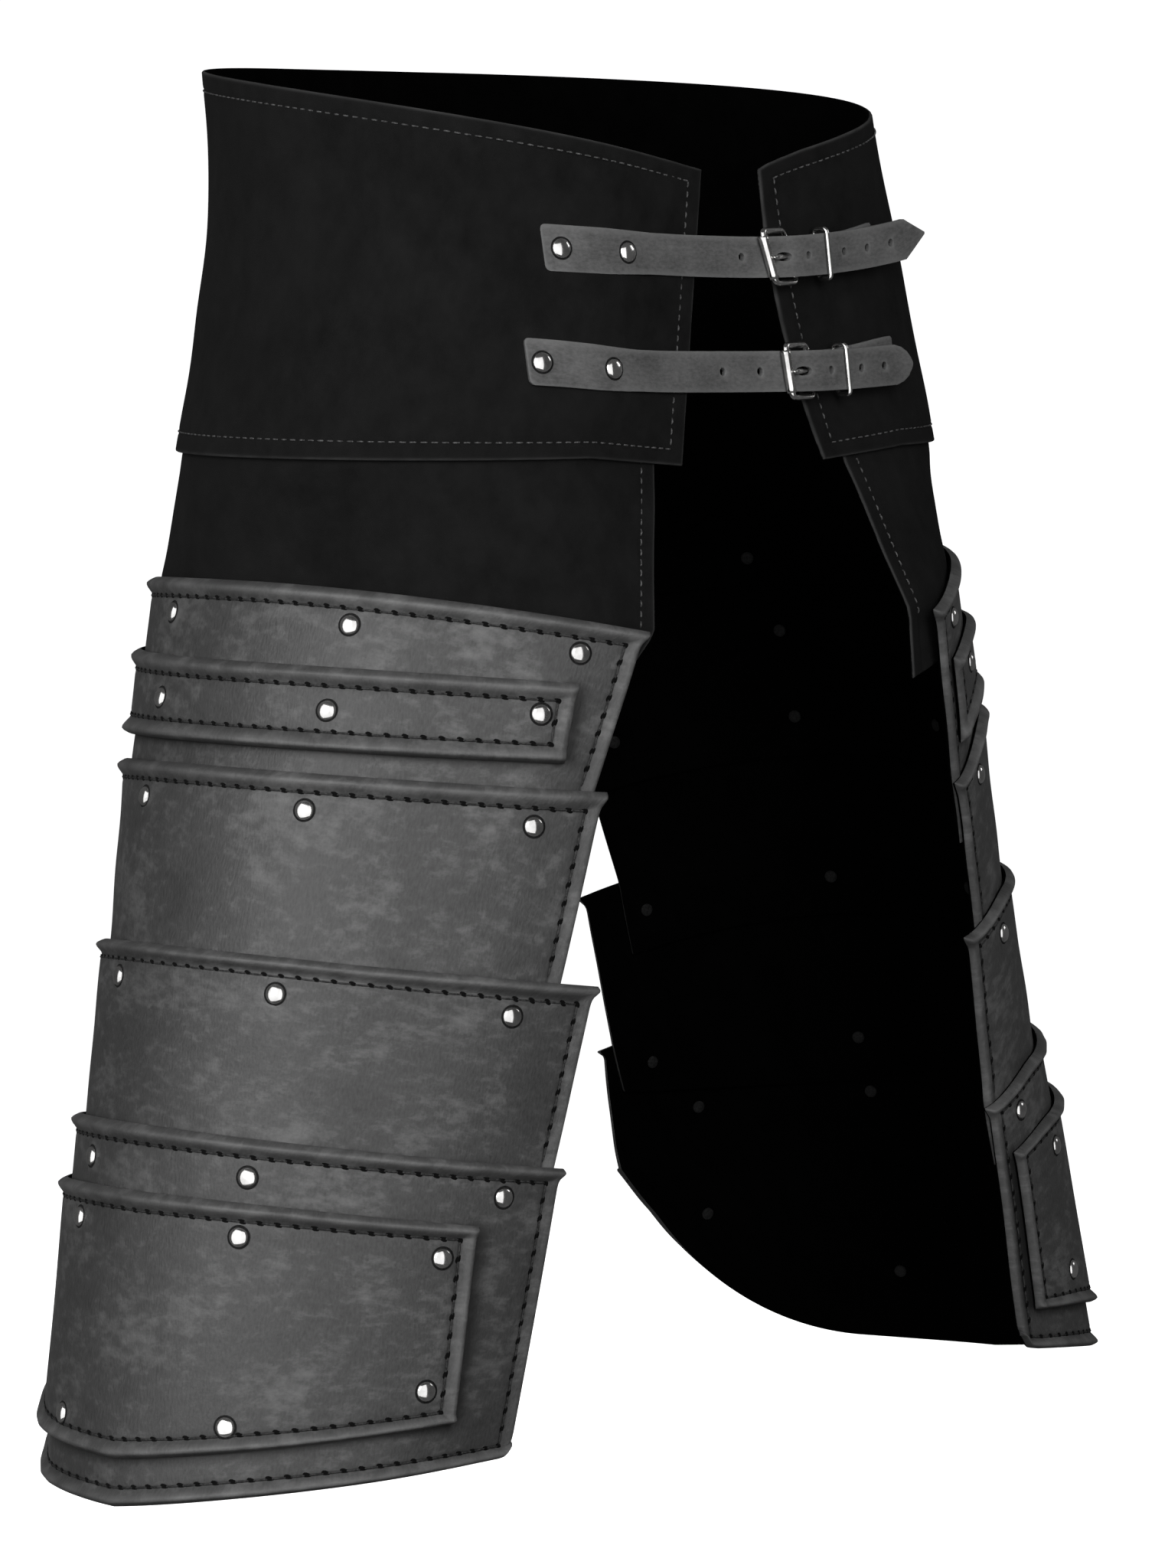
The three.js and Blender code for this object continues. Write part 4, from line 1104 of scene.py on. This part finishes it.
# a flat outline with holes, meshed with a grid inside it, then bent through a function and given a wall
def cutStrap(name, outline, holes, bend, size, seed, replaced):
    spacing, wall = size["mesh"], size["wall"]
    points, edges = [], []
    for loop in [outline] + holes:
        start = len(points)
        fine = []
        for a, b in zip(loop, loop[1:] + loop[:1]):
            count = max(int(math.dist(a, b) / spacing), 1)
            fine += [(mix(a[0], b[0], k / count), mix(a[1], b[1], k / count)) for k in range(count)]
        points += fine
        edges += [(start + k, start + (k + 1) % len(fine)) for k in range(len(fine))]
    low, high = np.min(outline, 0), np.max(outline, 0)
    for x in np.arange(low[0] + spacing / 2, high[0], spacing):
        for y in np.arange(low[1] + 1.5, high[1] - 1.4, spacing):
            if insideOf((x, y), outline, 1.0) and not any(insideOf((x, y), hole, -0.9) for hole in holes):
                points.append((x, y))
    found = delaunay_2d_cdt([Vector(p) for p in points], edges, [], 0, 1e-5)
    flat = np.array([tuple(v) for v in found[0]])
    faces = []
    for face in found[2]:
        centre = flat[list(face)].mean(0)
        if insideOf(centre, outline, 0) and not any(insideOf(centre, hole, 0) for hole in holes):
            faces.append(list(face))
    count = len(flat)
    sides = {}
    for face in faces:
        for a, b in zip(face, face[1:] + face[:1]):
            sides[(a, b)] = sides.get((a, b), 0) + 1
    rims = [(a, b) for a, b in sides if (b, a) not in sides]
    top = bend(flat[:, 0], flat[:, 1], wall / 2)
    under = bend(flat[:, 0], flat[:, 1], -wall / 2)
    allFaces = faces + [[count + i for i in reversed(face)] for face in faces]
    allFaces += [[b, a, count + a, count + b] for a, b in rims]
    rimmed = np.zeros(count)
    rimmed[[i for pair in rims for i in pair]] = 1
    uv = np.concatenate([flat, flat]) / 100 + (seed * 3.3, seed * 5.7)
    marks = {"rub": np.concatenate([rimmed, rimmed]) * 0.8}
    piece = addMesh(name, np.concatenate([top, under]), allFaces, (strapLeather,), None, uv, marks)
    soften = piece.modifiers.new("soft edge", "BEVEL")
    soften.width = size["bevel"] * metre
    soften.segments = 2
    soften.limit_method = "ANGLE"
    soften.angle_limit = math.radians(50)
    dress(piece, replaced)


# whether a point lies inside a loop, by more than the margin
def insideOf(point, loop, margin):
    x, y = point
    inside = False
    nearest = 1e9
    for (x1, y1), (x2, y2) in zip(loop, loop[1:] + loop[:1]):
        if (y1 > y) != (y2 > y) and x < (x2 - x1) * (y - y1) / (y2 - y1) + x1:
            inside = not inside
        dx, dy = x2 - x1, y2 - y1
        t = min(max(((x - x1) * dx + (y - y1) * dy) / max(dx * dx + dy * dy, 1e-9), 0), 1)
        nearest = min(nearest, math.hypot(x - x1 - t * dx, y - y1 - t * dy))
    signed = nearest if inside else -nearest
    return signed > margin


def makeTube(name, centre, radius, closed, replaced=(), sides=14, tip=()):
    centre = np.asarray(centre, float)
    count = len(centre)
    if closed:
        ahead = unit(np.roll(centre, -1, 0) - np.roll(centre, 1, 0))
        around = unit(np.cross(centre[count // 4] - centre[0], centre[count // 2] - centre[0]))
    else:
        ahead = unit(np.gradient(centre, axis=0))
        around = np.array([0.0, 0.0, 1.0])
    ups = unit(around[None] - ahead * (ahead @ around)[:, None])
    radii = radius * np.concatenate([np.ones(count - len(tip)), tip])
    points, faces = tubeParts(centre, ahead, ups, radii, 0, sides, closed)
    dress(addMesh(name, points, faces, (nickel,)), replaced)


def roundedCorners(corners, radius, steps=6):
    points = []
    count = len(corners)
    for i in range(count):
        here = np.array(corners[i], float)
        before = unit(np.array(corners[i - 1], float) - here)
        after = unit(np.array(corners[(i + 1) % count], float) - here)
        start, end = here + before * radius, here + after * radius
        for k in range(steps + 1):
            t = k / steps
            points.append((1 - t) ** 2 * start + 2 * t * (1 - t) * here + t * t * end)
    return np.array(points)


def strapPlace(line, x, height, across, skew=0.0):
    sway = catmull(*zip(*line["sway"]), np.asarray(x, float))
    z = line["z"] + sway + across
    return np.stack([x - skew * across, frontFace(z) - height, z], -1)


# a wire ring through four corners: each end of it stands at its own place along the strap and its own height
def makeRing(name, line, ends, size, skew, replaced):
    (x1, high1), (x2, high2) = ends
    wide = size["halfWidth"]
    corners = [(x1, high1, wide), (x2, high2, wide), (x2, high2, -wide), (x1, high1, -wide)]
    loop = roundedCorners(corners, size["corner"])
    makeTube(name, [strapPlace(line, *spot, skew) for spot in loop], size["wire"], True, replaced)


# the prong rises from the buckle's back bar, arches a little and rests on the roller
def makeProng(which, line):
    low = buckleSize["pivotHeight"] + prongSize["startHeight"]
    high = buckleSize["rollerHeight"] + buckleSize["roller"] + prongSize["restHeight"]
    start = strapPlace(line, line["pivot"] - prongSize["startBack"], low, 0)
    rest = strapPlace(line, line["roller"] + prongSize["restAhead"], high, 0)
    end = rest + unit(rest - start) * prongSize["reach"] + np.array([0, prongSize["drop"], 0])
    middle = mix(start, rest, 0.6) - np.array([0, prongSize["arch"], 0])
    share = np.linspace(0, 1, 14)[:, None]
    path = (1 - share) ** 2 * start + 2 * share * (1 - share) * middle + share ** 2 * end
    makeTube(f"prongWire_{which}", path, prongSize["wire"], False, [f"prong_{which}"], 12, prongSize["tip"])


def makeStrap(which):
    line = strapLine[which]
    holes = [circleAt(x, 0, strapSize["hole"], strapSize["hole"]) for x in line["holes"]]
    holes.append(circleAt(line["prongHole"], 0, strapSize["slotLength"], strapSize["slot"]))

    def bend(x, across, lift):
        return tonguePoint(line, x, across, lift)

    outline, seed = tongueOutline(line), strapSize["seed"][which]
    cutStrap(f"strapLeather_{which}", outline, holes, bend, strapSize, seed, [f"strap_{which}"])
    roller, high = line["roller"], buckleSize["rollerHeight"]
    pivot, low = line["pivot"], buckleSize["pivotHeight"]
    skew, ends = line["skew"], ((roller, high), (pivot, low))
    makeRing(f"buckleFrame_{which}", line, ends, buckleSize, skew, [f"buckle_{which}"])
    reach = buckleSize["halfWidth"] - buckleSize["rollerInset"]
    rollerLine = [strapPlace(line, roller, high, across, skew) for across in np.linspace(-reach, reach, 12)]
    makeTube(f"buckleRoller_{which}", rollerLine, buckleSize["roller"], False, (), 20)
    ends = ((line["keeper"], keeperSize["low"]), (line["keeper"], keeperSize["high"]))
    makeRing(f"keeperRing_{which}", line, ends, keeperSize, keeperSize["skew"], [f"keeper_{which}"])
    makeProng(which, line)
    makeBuckleStrap(which, line)
    seats = []
    for x in line["rivets"]:
        spot = tonguePoint(line, np.array([x, x + 0.5, x]), np.array([0, 0, 0.5]), strapSize["wall"] / 2)
        normal = unit(np.cross(spot[1] - spot[0], spot[2] - spot[0]))
        seats.append((spot[0], normal if normal[1] < 0 else -normal))
    makeRivets(f"rivets_strap_{which}", seats, strapSize["burr"])


# the folded strap: along the waistband, round the buckle's back bar and forward again to the keeper
def makeBuckleStrap(which, line):
    low = strapSize["lift"] + foldSize["wall"] / 2
    ring = buckleSize["wire"] + 1.35
    pivot, shelf = line["pivot"], buckleSize["pivotHeight"] + ring
    path = [(x, low) for x in np.linspace(foldSize["tailX"][which], pivot + 6, 18)]
    for turn in np.radians(np.linspace(270, 90, 11)):
        path.append((pivot + ring * math.cos(turn), buckleSize["pivotHeight"] + ring * math.sin(turn)))
    path = np.array(path + [(line["keeper"] + 3, shelf), (line["keeper"] + 11, shelf - 2.0)])
    steps = np.concatenate([[0], np.cumsum(np.linalg.norm(np.diff(path, axis=0), axis=1))])
    ahead = unit(np.gradient(path, axis=0))

    def bend(s, across, lift):
        x, height = [np.interp(s, steps, path[:, k]) for k in range(2)]
        dx, dh = [np.interp(s, steps, ahead[:, k]) for k in range(2)]
        x, height = x + dh * lift, height - dx * lift
        sway = catmull(*zip(*line["sway"]), x) * 0.4 + smooth(50, 110, x) * 5.0
        return wrapped("left", x, line["z"] + sway + across, height)

    total, wide = steps[-1], foldSize["halfWidth"]
    half = [(0.0, 1 - wide), (1.0, -wide), (total, -wide)]
    outline = half + [(x, -y) for x, y in reversed(half)]
    turned, slot = steps[18 + 5], foldSize["slot"]      # the slot for the prong lies where the strap turns
    start, end = turned - foldSize["slotHalf"], turned + foldSize["slotHalf"]
    hole = [(start, -slot), (end, -slot), (end, slot), (start, slot)]
    seed, replaced = foldSize["seed"][which], [f"buckle_strap_{which}"]
    cutStrap(f"buckleStrapLeather_{which}", outline, [hole], bend, foldSize, seed, replaced)


for which in strapLine:
    makeStrap(which)


print("floor, light and camera")


white = (1, 1, 1, 1)

# a closed white dome that only the camera sees: distances from its middle line and heights, in metres
stageProfile = (
    (0.01, -0.9), (4.5, -0.9), (6.2, -0.6), (7.4, 0.6), (7.8, 2.4), (7.0, 5.0), (4.6, 7.2), (0.01, 8.2),
)
stageGlow = 0.95


def stagePiece(name, points, faces, material, hiddenFrom):
    shape = bpy.data.meshes.new(name)
    shape.from_pydata(points, [], faces)
    shape.materials.append(material)
    piece = bpy.data.objects.new(name, shape)
    for ray in hiddenFrom:
        setattr(piece, f"visible_{ray}", False)
    scene.collection.objects.link(piece)


def makeStage():
    sides = 48
    points, faces = [], []
    for radius, up in stageProfile:
        for turn in np.arange(sides) * math.tau / sides:
            points.append((radius * math.cos(turn), radius * math.sin(turn), up))
    for row in range(len(stageProfile) - 1):
        low, high = row * sides, (row + 1) * sides
        for k in range(sides):
            after = (k + 1) % sides
            faces.append((low + k, low + after, high + after, high + k))
    faces.append(tuple(range(sides)))
    pale = Finish("paleFloor")
    pale.wear(Base_Color=white, Roughness=0.9, Emission_Color=white, Emission_Strength=stageGlow)
    stagePiece("floor", points, faces, pale.material, ("diffuse", "glossy", "shadow"))


# white cards that only polished metal mirrors: how far away, and the angles and heights that they span
panels = {
    "leftPanel": {"away": 3.0, "angles": (-215, -98), "heights": (-2.8, 3.0), "glow": 1.2},
    "rightPanel": {"away": 2.6, "angles": (-42, -22), "heights": (0.7, 1.9), "glow": 1.6},
}


def addPanel(name, away, angles, heights, glow):
    points = []
    for angle in np.radians(np.linspace(*angles, 9)):
        points += [Vector((away * math.cos(angle), away * math.sin(angle), height)) for height in heights]
    faces = [(2 * k, 2 * k + 1, 2 * k + 3, 2 * k + 2) for k in range(8)]
    card = Finish(name).wear(Emission_Color=white, Emission_Strength=glow)
    stagePiece(name, points, faces, card, ("camera", "diffuse", "shadow"))


# soft lights, in metres and watts; only the key is mirrored by the metal
lights = {
    "keyLeft": {"place": (-2.5, -0.15, 0.75), "aim": (-0.1, -0.05, -0.25), "size": (1.3, 1.7), "power": 38},
    "front": {"place": (-1.75, -2.15, 1.1), "aim": (-0.1, 0, -0.25), "size": (1.0, 1.4), "power": 12},
    "nearFront": {"place": (-0.68, -1.38, 0.4), "aim": (-0.15, -0.1, -0.2), "size": (0.5, 0.8), "power": 17},
    "backFill": {"place": (1.5, 2.3, 0.9), "aim": (0, 0, -0.2), "size": (1.2, 1.4), "power": 26},
}
worldGlow = 0.08


def addLight(name, place, aim, size, power):
    light = bpy.data.lights.new(name, "AREA")
    light.energy = power
    light.shape = "RECTANGLE"
    light.size, light.size_y = size
    holder = bpy.data.objects.new(name, light)
    holder.location = place
    holder.rotation_euler = (Vector(aim) - Vector(place)).to_track_quat("-Z", "Y").to_euler()
    holder.visible_glossy = name == "keyLeft"
    scene.collection.objects.link(holder)


makeStage()
for name, light in lights.items():
    addLight(name, **light)
for name, panel in panels.items():
    addPanel(name, **panel)

world = bpy.data.worlds.new("studio")
world.use_nodes = True
world.node_tree.nodes["Background"].inputs[0].default_value = white
world.node_tree.nodes["Background"].inputs[1].default_value = worldGlow
scene.world = world

# the photograph's viewpoint, in metres, and the directions to its right, up and ahead
cameraSpot = {
    "place": (-2.1234, -1.9461, 0.0453), "right": (0.67304, -0.73960, 0.0003),
    "up": (0.06836, 0.06263, 0.99569), "ahead": (0.73644, 0.67012, -0.09271), "lens": 189.7,
}
camera = bpy.data.cameras.new("camera")
camera.lens = cameraSpot["lens"]
camera.sensor_fit = "HORIZONTAL"
camera.sensor_width = 36
camera.clip_end = 60
eye = bpy.data.objects.new("camera", camera)
axes = Matrix((cameraSpot["right"], cameraSpot["up"], [-v for v in cameraSpot["ahead"]])).transposed()
eye.matrix_world = Matrix.Translation(cameraSpot["place"]) @ axes.to_4x4()
scene.collection.objects.link(eye)
scene.camera = eye
scene.view_settings.view_transform = "Standard"
